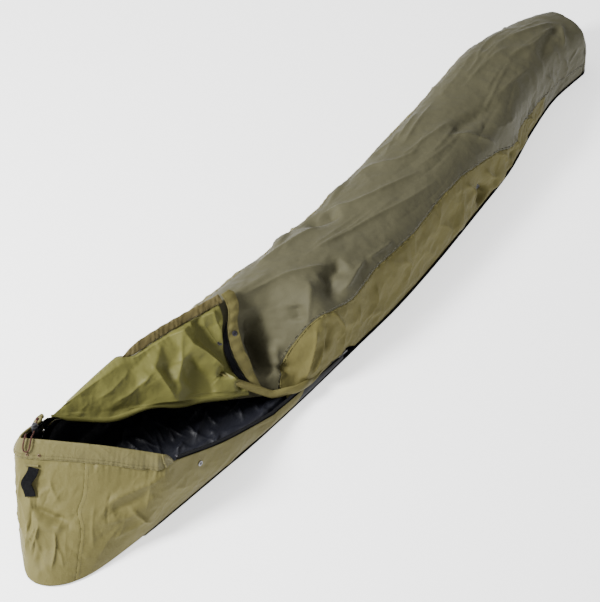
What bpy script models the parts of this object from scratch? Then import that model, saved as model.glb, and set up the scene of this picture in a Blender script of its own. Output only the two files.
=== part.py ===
"""Bivy sack lying open on its back, entrance flap folded over towards the foot.

The sack lies along X with its foot at +X and its zip on the -Y side.  Working axes cross the floor at the
waist, and the empty `bivy` moves the origin from there to the middle of the footprint.  Lengths are metres.
"""

import math

import bmesh
import bpy
import numpy as np
from mathutils import Matrix, Vector

# Driving dimensions
ORIGIN = Vector((0.0120, 0.0247, 0.0))     # middle of the footprint, in working axes
CLOTH = 0.0020                             # thickness of one panel with its seam allowance
SEAM_GAP = 0.0012                          # clear space between two neighbouring panels
FLOOR_THICK = 0.0030                       # thickness of the groundsheet
FLOOR_LIP = 0.0040                         # how far the groundsheet shows past the walls
WALL_FOOT_Z = 0.0056                       # height at which the walls begin, just over the groundsheet
FOOT_END_X = 1.140                         # where the tube of the sack meets the foot panel
FOOT_BULGE = 0.048                         # how far the foot panel stands out at its middle
CASING_THICK = 0.0100                      # width of the hem casing, outside
CASING_SKIN = 0.0013                       # cloth thickness of the hem casing
CASING_GAP = 0.0010                        # clear space between a wall's top edge and the casing over it
CORD_R = 0.0020                            # radius of the drawcord
COIL_R = 0.0022                            # radius of one zip coil
TAPE_THICK = 0.0010                        # thickness of a zip tape
SNAP_R = 0.0072                            # radius of a press stud
LINING_INSET = 0.014                       # clear space between wall and inner lining
FLAP_CLEARANCE = 0.013                     # space between the folded flap and the top panel under it

# Stations of the tube: x, near edge y, far edge y, height
STATIONS = (
    (-1.00, -0.122, 0.188, 0.258),
    (-0.88, -0.136, 0.194, 0.266),
    (-0.70, -0.148, 0.198, 0.266),
    (-0.50, -0.159, 0.186, 0.262),
    (-0.30, -0.162, 0.170, 0.254),
    (-0.10, -0.160, 0.156, 0.246),
    (0.10, -0.157, 0.154, 0.240),
    (0.30, -0.140, 0.165, 0.240),
    (0.50, -0.116, 0.182, 0.238),
    (0.70, -0.088, 0.204, 0.234),
    (0.86, -0.046, 0.218, 0.230),
    (1.00, -0.020, 0.192, 0.214),
    (1.15, -0.022, 0.146, 0.182),
)

# Outline of the tube's section from the near floor edge over the top to the far floor edge:
# across (-1 to 1), up (0 to 1)
SECTION = (
    (-0.970, 0.00), (-1.000, 0.12), (-1.000, 0.35), (-0.955, 0.62),
    (-0.850, 0.82), (-0.600, 0.95), (-0.250, 1.00),
    (0.200, 1.00), (0.580, 0.93), (0.840, 0.76), (0.970, 0.50), (1.000, 0.25), (0.960, 0.00),
)

# The hood and the wall under the zip are one ring, from the zip's end round the head to the far side.
# Each row: foot of the wall x, y, then top of the wall x, y, z.
RING = (
    (-0.140, -0.160, -0.140, -0.1610, 0.0200),
    (-0.270, -0.162, -0.270, -0.1620, 0.0335),
    (-0.400, -0.161, -0.400, -0.1620, 0.0470),
    (-0.440, -0.160, -0.440, -0.1610, 0.0540),
    (-0.620, -0.152, -0.610, -0.1560, 0.1200),
    (-0.780, -0.143, -0.760, -0.1420, 0.1930),
    (-0.930, -0.133, -0.812, -0.1200, 0.1900),
    (-1.060, -0.112, -0.888, -0.0300, 0.2120),
    (-1.135, -0.068, -0.950, 0.0550, 0.2170),
    (-1.158, -0.008, -0.995, 0.1170, 0.2170),
    (-1.118, 0.055, -1.010, 0.1520, 0.2160),
    (-1.062, 0.118, -0.990, 0.1750, 0.2140),
    (-0.985, 0.165, -0.945, 0.1830, 0.2110),
    (-0.885, 0.190, -0.885, 0.1880, 0.2060),
)
# Rim of the hood over the same rows, from the row where the hem casing starts
RIM_FIRST_ROW = 5
RIM = (
    (-0.785, -0.1330, 0.2300), (-0.800, -0.1100, 0.2360),
    (-0.868, -0.0180, 0.2550), (-0.926, 0.0660, 0.2600),
    (-0.968, 0.1280, 0.2610), (-0.984, 0.1560, 0.2580), (-0.964, 0.1650, 0.2520), (-0.930, 0.1650, 0.2460),
    (-0.888, 0.1620, 0.2390),
)
ROW_ZIP_TOP = 4.98        # ring position of the zip's upper end
ROW_CASING = (5.12, 12.4)  # ring positions of the hem casing's two ends
ROW_END_SEAM = (7.25, 10.5)  # ring positions of the end panel's two seams
ROW_FAR_END = 12.97
WALL_BULGE = 0.016        # how far the zip wall bellies out at half height; the hood's end hangs straight

# Entrance flap: hinge line from far to near, then the two free corners
FOLD_FAR = Vector((-0.884, 0.154, 0.242))
FOLD_NEAR = Vector((-0.362, -0.130, 0.068))
FLAP_TIP = Vector((-0.338, 0.078, 0.276))
FLAP_FAR = Vector((-0.600, 0.136, 0.272))
PRESS_REACH = (0.050, 0.190)   # past the flap's zip edge, where the top panel starts and ends its rise

# Across the flap's zip edge, measured from the line between its near fold end and its tip
FLAP_EDGE = -0.0280
FLAP_TAPE = (-0.0272, -0.0138)
FLAP_COIL = -0.0108
STORM_FLAP = (-0.0076, 0.0264)
STORM_CLOTH = 0.0016
STORM_SPAN = (0.10, 0.97)      # where the storm flap starts and ends along the zip edge
# How far the flap's zip edge curves in from its straight line, at shares of its length
EDGE_BOW = ((0.0, -0.046), (0.2, -0.056), (0.4, -0.053), (0.65, -0.032), (0.82, -0.006), (0.90, 0.0),
            (1.0, 0.0))
FLAP_HEM_WIDE = 0.024
FLAP_HEM_THICK = 0.0076
FLAP_HEM_START = 0.10          # where the coated cloth begins along the hem, past the fold's far end

# Zip: heights over the edge of the wall that carries it, and distance inside that wall
TAPE_LOW, TAPE_HIGH, COIL_OVER = -0.006, 0.0100, 0.0130
ZIP_INSIDE = 0.0031
SLIDER_START = 0.0120          # from the zip's end to the middle of the parked slider
SLIDER_LONG = 0.0150
SLIDER_PLATE = 0.0016
SLIDER_ROOM = 0.0027           # from the coil's middle to the inside of the slider
PULL_LONG = 0.0240

# Webbing tab on the hood's end, drawcord tail and cord lock
TAB_ROW = 8.96
TAB_WIDE, TAB_LONG, TAB_THICK = 0.026, 0.072, 0.0026
TAIL_ROW = 9.30
LOCK_R, LOCK_HIGH = 0.0080, 0.0220
PLUNGER_R = 0.0056
PLUNGER_PLAY = 0.0003
PRESS_TRAVEL = 0.0030
LOCK_HOLE_R = 0.0028
TAIL_STRAIGHT = 0.040          # level stretch of the drawcord tail that the cord lock slides on
LOCK_AT = 0.014                # middle of the cord lock along that stretch

NEAR_SEAM = ((-0.36, 0.80), (0.0, 0.80), (0.40, 0.79), (0.62, 0.74), (0.80, 0.58), (0.92, 0.22),
             (1.00, 0.10))
FAR_SEAM = 0.70           # far seam, as a share of the way round the section
NEAR_PANEL_X = (-0.310, 0.925)
ZIP_CLEAR_X = -0.118      # past the zip's end, where the near side panel comes down to the groundsheet

KHAKI = (0.26, 0.22, 0.105)
GREY_GREEN = (0.145, 0.135, 0.090)
COATED_GREEN = (0.25, 0.235, 0.065)
BLACK = (0.010, 0.010, 0.013)
BROWN = (0.10, 0.045, 0.030)
STEEL = (0.30, 0.30, 0.31)


def clear_scene():
    for item in list(bpy.data.objects):
        bpy.data.objects.remove(item)


def material(name, colour, roughness=0.8, metallic=0.0):
    made = bpy.data.materials.new(name)
    made.use_nodes = True
    shader = made.node_tree.nodes["Principled BSDF"]
    shader.inputs["Base Color"].default_value = (*colour, 1.0)
    shader.inputs["Roughness"].default_value = roughness
    shader.inputs["Metallic"].default_value = metallic
    return made


def add_empty(name, location, parent=None):
    item = bpy.data.objects.new(name, None)
    bpy.context.scene.collection.objects.link(item)
    item.parent = parent
    item.location = location
    return item


def finish(item, finish_material, parent, smooth_angle=math.radians(35)):
    """Links an object under its parent, whose place its geometry is measured from in working axes."""
    bpy.context.scene.collection.objects.link(item)
    item.data.materials.append(finish_material)
    item.parent = parent
    if item.type == "MESH":
        item.data.transform(Matrix.Translation(-parent_place(parent)))
        item.data.shade_smooth()
        item.data.set_sharp_from_angle(angle=smooth_angle)
    return item


def parent_place(parent):
    """The parent's place in working axes."""
    place = Vector()
    while parent is not None and parent.name != "bivy":
        place += parent.location
        parent = parent.parent
    return place


def new_mesh(name, points, faces):
    mesh = bpy.data.meshes.new(name)
    mesh.from_pydata([tuple(p) for p in points], [], faces)
    mesh.update()
    return bpy.data.objects.new(name, mesh)


def smooth_through(keys, values, at):
    """Cubic through the values at rising keys; `at` may be a number or an array."""
    keys = np.asarray(keys, float)
    values = np.asarray(values, float)
    slopes = np.gradient(values, keys, axis=0)
    at = np.clip(at, keys[0], keys[-1])
    i = np.clip(np.searchsorted(keys, at, side="right") - 1, 0, len(keys) - 2)
    span = keys[i + 1] - keys[i]
    u = (at - keys[i]) / span
    h = (2 * u**3 - 3 * u**2 + 1, u**3 - 2 * u**2 + u, -2 * u**3 + 3 * u**2, u**3 - u**2)
    return h[0] * values[i] + h[1] * span * slopes[i] + h[2] * values[i + 1] + h[3] * span * slopes[i + 1]


def station(x):
    """Middle y, half width and height of the tube at x."""
    near, far, height = smooth_through([s[0] for s in STATIONS], np.array([s[1:] for s in STATIONS]), x)
    return (near + far) / 2, (far - near) / 2, height


def section_tables():
    """The section's outline as a fine line, with each point's share of the way round."""
    keys = np.arange(len(SECTION))
    steps = np.linspace(0, len(SECTION) - 1, 240)
    fine = np.array([smooth_through(keys, np.array(SECTION), k) for k in steps])
    steps = np.linalg.norm(np.diff(fine * (0.16, 0.245), axis=0), axis=1)
    share = np.concatenate([[0], np.cumsum(steps)])
    return share / share[-1], fine


SHARE, OUTLINE = section_tables()


def shell(x, t):
    """A point of the tube's outer surface at x, share t of the way round from the near floor edge."""
    middle, half, height = station(x)
    across = np.interp(t, SHARE, OUTLINE[:, 0])
    up = np.interp(t, SHARE, OUTLINE[:, 1])
    return Vector((x, middle + half * across, max(height * up, WALL_FOOT_Z)))


def share_at_height(up, near=True):
    """Share of the way round at which the near (or far) wall reaches a share of the height."""
    half = len(SHARE) // 2
    if near:
        return float(np.interp(up, OUTLINE[:half, 1], SHARE[:half]))
    return float(np.interp(-up, -OUTLINE[half:, 1], SHARE[half:]))


def ring_wall(row, v):
    """A point of the hood and zip wall: position along the ring, and height share v of the wall."""
    table = np.array(RING)
    foot_x, foot_y, top_x, top_y, top_z = smooth_through(np.arange(len(RING)), table, row)
    foot = Vector((foot_x, foot_y, WALL_FOOT_Z))
    top = Vector((top_x, top_y, top_z))
    belly = WALL_BULGE * 4 * v * (1 - v) * min(1.0, (top - foot).length / 0.12, max(0.0, (8.0 - row) / 2))
    return foot.lerp(top, v) + ring_out(row) * belly


def ring_out(row):
    """Level direction pointing out of the hood at a ring position."""
    table = np.array(RING)[:, :2]
    step = 0.05
    rows = np.arange(len(RING))
    ahead = smooth_through(rows, table, min(row + step, rows[-1]))
    behind = smooth_through(rows, table, max(row - step, 0))
    along = Vector((*(ahead - behind), 0)).normalized()
    return Vector((along.y, -along.x, 0)) * -1 if along.x > 0 else Vector((-along.y, along.x, 0))


def rim(row):
    rows = np.arange(RIM_FIRST_ROW, RIM_FIRST_ROW + len(RIM))
    return Vector(smooth_through(rows, np.array(RIM), row))


def fold_normal():
    """Upward normal of the folded flap's plane."""
    along = FOLD_NEAR - FOLD_FAR
    normal = along.cross(FLAP_TIP - FOLD_FAR).normalized()
    return normal if normal.z > 0 else -normal


def flap_axes():
    """Directions in the folded flap's plane: along its zip edge from the fold, and out past that edge."""
    along = (FLAP_TIP - FOLD_NEAR).normalized()
    out = along.cross(fold_normal())
    return along, out if out.x > 0 else -out


def under_flap(point):
    """Presses a point of the top panel down until it clears the folded flap; past the zip edge it rises."""
    normal = fold_normal()
    height = (point - FOLD_FAR).dot(normal) + FLAP_CLEARANCE
    if height <= 0:
        return point
    past = ((point - FOLD_NEAR).dot(flap_axes()[1]) - PRESS_REACH[0]) / (PRESS_REACH[1] - PRESS_REACH[0])
    past = min(1.0, max(0.0, past))
    return point - Vector((0, 0, height / normal.z)) * (1 - past * past * (3 - 2 * past))


def sheet(name, grid, thickness, finish_material, parent):
    """Closed solid of one cloth panel, from a grid of points on its outer face; it thickens inwards."""
    grid = [[Vector(p) for p in row] for row in grid]
    rows, cols = len(grid), len(grid[0])
    normals = []
    for i in range(rows):
        for j in range(cols):
            down = grid[min(i + 1, rows - 1)][j] - grid[max(i - 1, 0)][j]
            over = grid[i][min(j + 1, cols - 1)] - grid[i][max(j - 1, 0)]
            normals.append(down.cross(over).normalized())
    outer = [p for row in grid for p in row]
    inner = [p - n * thickness for p, n in zip(outer, normals)]
    count = len(outer)
    faces = []
    for i in range(rows - 1):
        for j in range(cols - 1):
            a, b = i * cols + j, (i + 1) * cols + j
            faces.append((a, b, b + 1, a + 1))
            faces.append((a + count, a + 1 + count, b + 1 + count, b + count))
    edge = [j for j in range(cols)]
    edge += [i * cols + cols - 1 for i in range(1, rows)]
    edge += [(rows - 1) * cols + j for j in range(cols - 2, -1, -1)]
    edge += [i * cols for i in range(rows - 2, 0, -1)]
    for k, a in enumerate(edge):
        b = edge[(k + 1) % len(edge)]
        faces.append((a, b, b + count, a + count))
    item = new_mesh(name, outer + inner, faces)
    face_outwards(item.data)
    return finish(item, finish_material, parent)


def rounded_ring(half_high, half_thick, corner_points=2):
    """Outline of a flat-sided band with round top and bottom, as (up, out) pairs."""
    straight = half_high - half_thick
    points = []
    for side in (1, -1):
        for k in range(corner_points + 1):
            angle = k * math.pi / corner_points
            out = side * half_thick * math.cos(angle)
            up = side * (straight + half_thick * math.sin(angle))
            points.append((up, out))
    return points


def hollow_band(name, stations, thick, skin, finish_material, parent):
    """Hollow flat tube swept through stations of (middle, up, out, height), open at both ends."""
    points = []
    for inset in (0.0, skin):
        for middle, up, out, high in stations:
            ring = rounded_ring(high / 2 - inset, thick / 2 - inset)
            points += [middle + up * a + out * b for a, b in ring]
    n = len(ring)
    layer = n * len(stations)
    faces = []
    for i in range(len(stations) - 1):
        for k in range(n):
            a, b = i * n + k, i * n + (k + 1) % n
            faces.append((a, a + n, b + n, b))
            faces.append((layer + a, layer + b, layer + b + n, layer + a + n))
    last = (len(stations) - 1) * n
    for k in range(n):
        a, b = k, (k + 1) % n
        faces.append((a, b, layer + b, layer + a))
        faces.append((last + b, last + a, layer + last + a, layer + last + b))
    item = new_mesh(name, points, faces)
    face_outwards(item.data)
    return finish(item, finish_material, parent)


def face_outwards(mesh):
    work = bmesh.new()
    work.from_mesh(mesh)
    bmesh.ops.recalc_face_normals(work, faces=work.faces)
    if work.calc_volume(signed=True) < 0:
        bmesh.ops.reverse_faces(work, faces=work.faces)
    work.to_mesh(mesh)
    work.free()


def tube(name, points, radius, finish_material, parent, resolution=2):
    """Round cord through points, as a poly curve with filled caps."""
    curve = bpy.data.curves.new(name, "CURVE")
    curve.dimensions = "3D"
    curve.bevel_depth = radius
    curve.bevel_resolution = resolution
    curve.use_fill_caps = True
    spline = curve.splines.new("POLY")
    spline.points.add(len(points) - 1)
    place = parent_place(parent)
    for target, point in zip(spline.points, points):
        target.co = (*(Vector(point) - place), 1.0)
    item = bpy.data.objects.new(name, curve)
    return finish(item, finish_material, parent)


def extrude_outline(name, outline, thickness, frame, finish_material, parent, bevel=0.0):
    """Plate with the given outline in its own plane, from 0 to thickness along the frame's third axis."""
    work = bmesh.new()
    face = work.faces.new([work.verts.new((a, b, 0)) for a, b in outline])
    grown = bmesh.ops.extrude_face_region(work, geom=[face])
    moved = [g for g in grown["geom"] if isinstance(g, bmesh.types.BMVert)]
    bmesh.ops.translate(work, verts=moved, vec=(0, 0, thickness))
    bmesh.ops.recalc_face_normals(work, faces=work.faces)
    bmesh.ops.transform(work, matrix=frame, verts=work.verts)
    mesh = bpy.data.meshes.new(name)
    work.to_mesh(mesh)
    work.free()
    item = bpy.data.objects.new(name, mesh)
    if bevel:
        edge = item.modifiers.new("edge", "BEVEL")
        edge.width = bevel
        edge.segments = 2
        edge.limit_method = "ANGLE"
    return finish(item, finish_material, parent)


def axes_at(place, first, third):
    """Frame at a place with its third axis given and its first as near as can be to a direction."""
    third = third.normalized()
    second = third.cross(first).normalized()
    first = second.cross(third)
    frame = Matrix((first, second, third)).transposed().to_4x4()
    frame.translation = place
    return frame


def disc_solid(name, profile, frame, finish_material, parent, sides=20):
    """Turned solid from a closed (radius, height) profile that starts and ends on the axis."""
    points, faces = [], []
    inner = profile[1:-1]
    points.append(frame @ Vector((0, 0, profile[0][1])))
    for radius, height in inner:
        for k in range(sides):
            turn = 2 * math.pi * k / sides
            points.append(frame @ Vector((radius * math.cos(turn), radius * math.sin(turn), height)))
    points.append(frame @ Vector((0, 0, profile[-1][1])))
    for k in range(sides):
        n = (k + 1) % sides
        faces.append((0, 1 + n, 1 + k))
        for i in range(len(inner) - 1):
            a, b = 1 + i * sides, 1 + (i + 1) * sides
            faces.append((a + k, a + n, b + n, b + k))
        top = 1 + (len(inner) - 1) * sides
        faces.append((len(points) - 1, top + k, top + n))
    item = new_mesh(name, points, faces)
    face_outwards(item.data)
    return finish(item, finish_material, parent)


def ring_solid(name, inner_r, outer_r, thickness, frame, finish_material, parent, sides=20):
    """Flat ring with rounded edges, such as an eyelet."""
    half = thickness / 2
    profile = ((inner_r, -half), (outer_r, -half), (outer_r, half * 0.2), (outer_r - half, half),
               (inner_r, half))
    points, faces = [], []
    for k in range(sides):
        turn = 2 * math.pi * k / sides
        points += [frame @ Vector((r * math.cos(turn), r * math.sin(turn), z)) for r, z in profile]
    n = len(profile)
    for k in range(sides):
        a, b = k * n, ((k + 1) % sides) * n
        for i in range(n):
            j = (i + 1) % n
            faces.append((a + i, b + i, b + j, a + j))
    item = new_mesh(name, points, faces)
    face_outwards(item.data)
    return finish(item, finish_material, parent)


# Panels

def floor_panel(bivy, black):
    """Groundsheet: one flat sheet a little larger than the footprint of the walls."""
    xs = np.linspace(-1.0, 1.0, 35)
    head, foot = -1.165, FOOT_END_X + FOOT_BULGE
    grid = []
    for s in xs:
        x = (head + foot) / 2 + (foot - head) / 2 * math.sin(s * math.pi / 2)
        near, far = floor_edges(x)
        grid.append([(x, near + (far - near) * k / 3, FLOOR_THICK) for k in range(4)])
    return sheet("floor_panel", grid, FLOOR_THICK, black, bivy)


def floor_edges(x):
    """Near and far edge of the groundsheet at x."""
    middle, half, _ = station(x)
    near, far = middle - half - FLOOR_LIP, middle + half + FLOOR_LIP * 0.5
    if x < -0.885:
        rows = np.linspace(0, len(RING) - 1, 400)
        feet = np.array([smooth_through(np.arange(len(RING)), np.array(RING)[:, :2], row) for row in rows])
        left = int(np.argmin(feet[:, 0]))
        x_in = max(x + FLOOR_LIP, feet[left, 0] + 0.0008)
        near = float(np.interp(-x_in, -feet[:left, 0], feet[:left, 1])) - FLOOR_LIP
        far = float(np.interp(x_in, feet[left:, 0], feet[left:, 1])) + FLOOR_LIP * 0.5
    if x > FOOT_END_X:
        part = (x - FOOT_END_X) / FOOT_BULGE
        keep = math.sqrt(max(0.0, 1 - 0.86 * part * part))
        middle = (near + far) / 2
        near, far = middle + (near - middle) * keep, middle + (far - middle) * keep
    return near, far


def inner_lining(bivy, black):
    """Black lining: a long trough that follows the walls and stays clear of them."""
    across = (-1.0, -0.97, -0.90, -0.76, -0.45, 0.0, 0.45, 0.76, 0.90, 0.97, 1.0)
    grid = []
    for x in np.linspace(-0.93, 1.04, 22):
        middle, half, _ = station(x)
        half -= LINING_INSET + 0.030 * max(0.0, (-0.86 - x) / 0.07)
        near_top = 0.62 * min(wall_top_z(x), 0.17)
        tops = (near_top, near_top * 0.6 + 0.006, 0.034, 0.024, 0.020, 0.020, 0.020, 0.024, 0.036, 0.085,
                0.150)
        if x > -0.14:
            tops = (0.10, 0.060, 0.034, 0.024, 0.020, 0.020, 0.020, 0.024, 0.036, 0.060, 0.10)
        grid.append([(x, middle + half * a, max(z, 0.012)) for a, z in zip(across, tops)])
    return sheet("inner_lining", grid, -CLOTH, black, bivy)


def wall_top_z(x):
    """Height of the wall under the zip at x."""
    table = np.array(RING)[:6]
    return float(np.interp(-x, -table[:, 2], table[:, 4]))


def near_seam_share(x):
    up = np.interp(x, [s[0] for s in NEAR_SEAM], [s[1] for s in NEAR_SEAM])
    return share_at_height(float(up))


def top_share(x, w):
    """Share of the way round the section, for a point w of the way over the top panel."""
    low = near_seam_share(x) + SEAM_GAP / 0.7
    high = FAR_SEAM - SEAM_GAP / 0.7
    return low + (high - low) * w


def fold_start(w):
    """Where the top panel starts, along the flap's fold line seen from above."""
    x = (FOLD_NEAR.x + FOLD_FAR.x) / 2
    slope = (FOLD_FAR.x - FOLD_NEAR.x) / (FOLD_FAR.y - FOLD_NEAR.y)
    for _ in range(12):
        y = shell(x, top_share(x, w)).y
        x = max(FOLD_NEAR.x + (y - FOLD_NEAR.y) * slope, FOLD_FAR.x - 0.006)
    return x


def top_panel(bivy, grey):
    """Breathable top, from the fold of the flap to the foot; it sinks where the flap lies on it."""
    rows = 32
    cols = 11
    grid = []
    for i in range(rows):
        u = i / (rows - 1)
        line = []
        for j in range(cols):
            w = j / (cols - 1)
            start = fold_start(w)
            x = start + (FOOT_END_X - SEAM_GAP - start) * u
            line.append(under_flap(shell(x, top_share(x, w))))
        grid.append(line)
    return sheet("top_panel", grid, CLOTH, grey, bivy)


def side_panel_near(bivy, khaki):
    """Side strip on the zip side, from the zip's end to its tip near the foot."""
    grid = []
    over_zip = np.linspace(NEAR_PANEL_X[0], ZIP_CLEAR_X, 5)
    past_zip = np.linspace(ZIP_CLEAR_X + 0.014, NEAR_PANEL_X[1], 20)
    for x in (*over_zip, *past_zip):
        low = 0.0
        if x <= ZIP_CLEAR_X:
            low = share_at_height(max(wall_top_z(x) + 0.024, 0.046) / station(x)[2])
        gap = SEAM_GAP * (3.5 if x <= ZIP_CLEAR_X else 1.0)
        high = near_seam_share(x) - gap / 0.7
        low = min(low, high - 0.02)
        grid.append([shell(x, low + (high - low) * k / 5) for k in range(6)])
    return sheet("side_panel_near", grid, CLOTH, khaki, bivy)


def foot_near_gusset(bivy, grey):
    """Grey stretch of the near side between the tip of the side strip and the foot panel."""
    grid = []
    for x in np.linspace(NEAR_PANEL_X[1] + 0.004, FOOT_END_X - SEAM_GAP, 9):
        high = near_seam_share(x) - SEAM_GAP / 0.7
        grid.append([shell(x, high * k / 3) for k in range(4)])
    return sheet("foot_near_gusset", grid, CLOTH, grey, bivy)


def side_panel_far(bivy, khaki):
    """Side strip away from the zip, from the hood to the foot."""
    grid = []
    low = FAR_SEAM + SEAM_GAP / 0.7
    for x in np.linspace(-0.875, FOOT_END_X - SEAM_GAP, 28):
        grid.append([under_flap(shell(x, low + (1.0 - low) * k / 5)) for k in range(6)])
    return sheet("side_panel_far", grid, CLOTH, khaki, bivy)


def foot_panel(bivy, grey):
    """End of the foot box, bellied out."""
    middle, half, height = station(FOOT_END_X)
    cols, rows = 13, 8
    grid = []
    for i in range(rows):
        v = i / (rows - 1)
        line = []
        for j in range(cols):
            across = -0.965 + 1.93 * j / (cols - 1)
            arch = OUTLINE[len(OUTLINE) // 2 :] if across > 0 else OUTLINE[: len(OUTLINE) // 2][::-1]
            top = float(np.interp(abs(across), np.abs(arch[:, 0][: np.argmax(np.abs(arch[:, 0]))]),
                                  arch[:, 1][: np.argmax(np.abs(arch[:, 0]))]))
            z = WALL_FOOT_Z + (height * top - WALL_FOOT_Z - 0.0005) * v
            belly = FOOT_BULGE * (1 - across**4) ** 0.5 * (1 - 0.75 * v * v)
            line.append((FOOT_END_X + 0.001 + belly, middle + half * across, z))
        grid.append(line)
    return sheet("foot_panel", grid, -CLOTH, grey, bivy)


def wall_panel(name, first, last, rows, finish_material, bivy):
    grid = []
    for row in np.linspace(first, last, rows):
        grid.append([ring_wall(float(row), k / 5) for k in range(6)])
    return sheet(name, grid, -CLOTH, finish_material, bivy)


def hood_panels(bivy, khaki):
    gap = 0.012
    wall_panel("near_wall_panel", 0.0, ROW_END_SEAM[0] - gap, 30, khaki, bivy)
    wall_panel("hood_end_panel", ROW_END_SEAM[0] + gap, ROW_END_SEAM[1] - gap, 15, khaki, bivy)
    wall_panel("hood_far_panel", ROW_END_SEAM[1] + gap, ROW_FAR_END - gap, 10, khaki, bivy)


# Hem casing, drawcord and cord lock

def casing_frame(row):
    """Middle, up and out directions of the hem casing, and its height, at a ring position."""
    low = ring_wall(row, 1.0) + Vector((0, 0, CASING_GAP))
    high = rim(row)
    up = (high - low).normalized()
    along = (rim(row + 0.05) - rim(row - 0.05)).normalized()
    out = along.cross(up).normalized()
    if out.dot(ring_out(row)) < 0:
        out = -out
    return (low + high) / 2, up, out, (high - low).length


def hood_hem(bivy, khaki, cord_material):
    """Hem casing round the hood's mouth, with the drawcord inside it."""
    stations = [casing_frame(float(r)) for r in np.linspace(*ROW_CASING, 26)]
    hollow_band("hood_hem_casing", stations, CASING_THICK, CASING_SKIN, khaki, bivy)
    tube("hood_drawcord", [s[0] for s in stations[1:-1]], CORD_R, cord_material, bivy)


def casing_eyelet(name, row, up_offset, size, finish_material, bivy, inside=False):
    """Eyelet on the casing's face; up_offset is measured from the casing's middle."""
    middle, up, out, _ = casing_frame(row)
    facing = -out if inside else out
    place = middle + up * up_offset + facing * (CASING_THICK / 2 + 0.0011)
    axes = axes_at(place, up, facing)
    return ring_solid(name, size * 0.55, size, 0.0016, axes, finish_material, bivy, 14)


def tail_origin():
    """Top of the rim where the drawcord's tail leaves, with the casing's up, out and along directions."""
    middle, up, out, high = casing_frame(TAIL_ROW)
    return middle + up * high / 2, up, out, up.cross(out)


def tail_route():
    """The tail out of its eyelet, in a loop over the rim, then level through the cord lock to its knot."""
    top, up, out, along = tail_origin()
    bends = (
        (-0.0068, -0.0150, -0.008), (-0.0105, -0.0145, -0.008),
        (-0.0140, -0.0090, -0.008), (-0.0125, 0.0000, -0.008),
        (-0.0060, 0.0065, -0.008), (0.0020, 0.0078, -0.008),
        (0.0090, 0.0030, -0.008), (0.0112, -0.0070, -0.008),
        (0.0112, -0.0200, -0.008), (0.0112, -0.0290, -0.0055),
        (0.0112, -0.0325, 0.000), (0.0112, -0.0290, 0.0055),
        (0.0112, -0.0200, 0.008), (0.0112, -0.0070, 0.008),
        (0.0090, 0.0030, 0.008), (0.0020, 0.0078, 0.008),
        (-0.0070, 0.0085, 0.008),
    )
    route = [top + out * a + up * b + along * c for a, b, c in bends]
    start, level = straight_start()
    route += [start + level * TAIL_STRAIGHT * k / 4 for k in range(5)]
    return route


def straight_start():
    """Start and direction of the tail's level stretch."""
    top, up, out, along = tail_origin()
    start = top + out * -0.0160 + up * 0.0085 + along * 0.008
    level = Vector((-out.x, -out.y, 0)).normalized()
    return start, level


def fine_route(points, count):
    """Smooth line through a route's points, with points spread evenly along it."""
    keys = np.concatenate([[0], np.cumsum([(b - a).length for a, b in zip(points, points[1:])])])
    dense = [Vector(smooth_through(keys, np.array(points), k)) for k in np.linspace(0, keys[-1], 400)]
    walked = np.concatenate([[0], np.cumsum([(b - a).length for a, b in zip(dense, dense[1:])])])
    table = np.array(dense)
    at = np.linspace(0, walked[-1], count)
    return [Vector([np.interp(k, walked, table[:, axis]) for axis in range(3)]) for k in at]


def drawcord_tail(bivy, cord_material):
    tube("drawcord_tail", fine_route(tail_route(), 30), CORD_R, cord_material, bivy)
    start, level = straight_start()
    place = start + level * (TAIL_STRAIGHT + 0.0003)
    profile = ((0, 0), (0.0018, 0), (0.0040, 0.0018), (0.0044, 0.0038), (0.0036, 0.0060),
               (0.0014, 0.0078), (0, 0.0078))
    frame = axes_at(place, Vector((0, 0, 1)), level)
    disc_solid("drawcord_knot", profile, frame, cord_material, bivy, 12)


def cut(item, cutter_place, cutter_axis, radius, length, name):
    """Drills a round hole through an object whose mesh is in its parent's axes."""
    cutter = disc_solid(name, ((0, -length), (radius, -length), (radius, length), (0, length)),
                        axes_at(cutter_place, Vector((0, 0, 1)), cutter_axis), item.data.materials[0],
                        item.parent, 16)
    cutter.hide_render = True
    cutter.display_type = "WIRE"
    drill = item.modifiers.new(name, "BOOLEAN")
    drill.operation = "DIFFERENCE"
    drill.object = cutter


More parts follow.
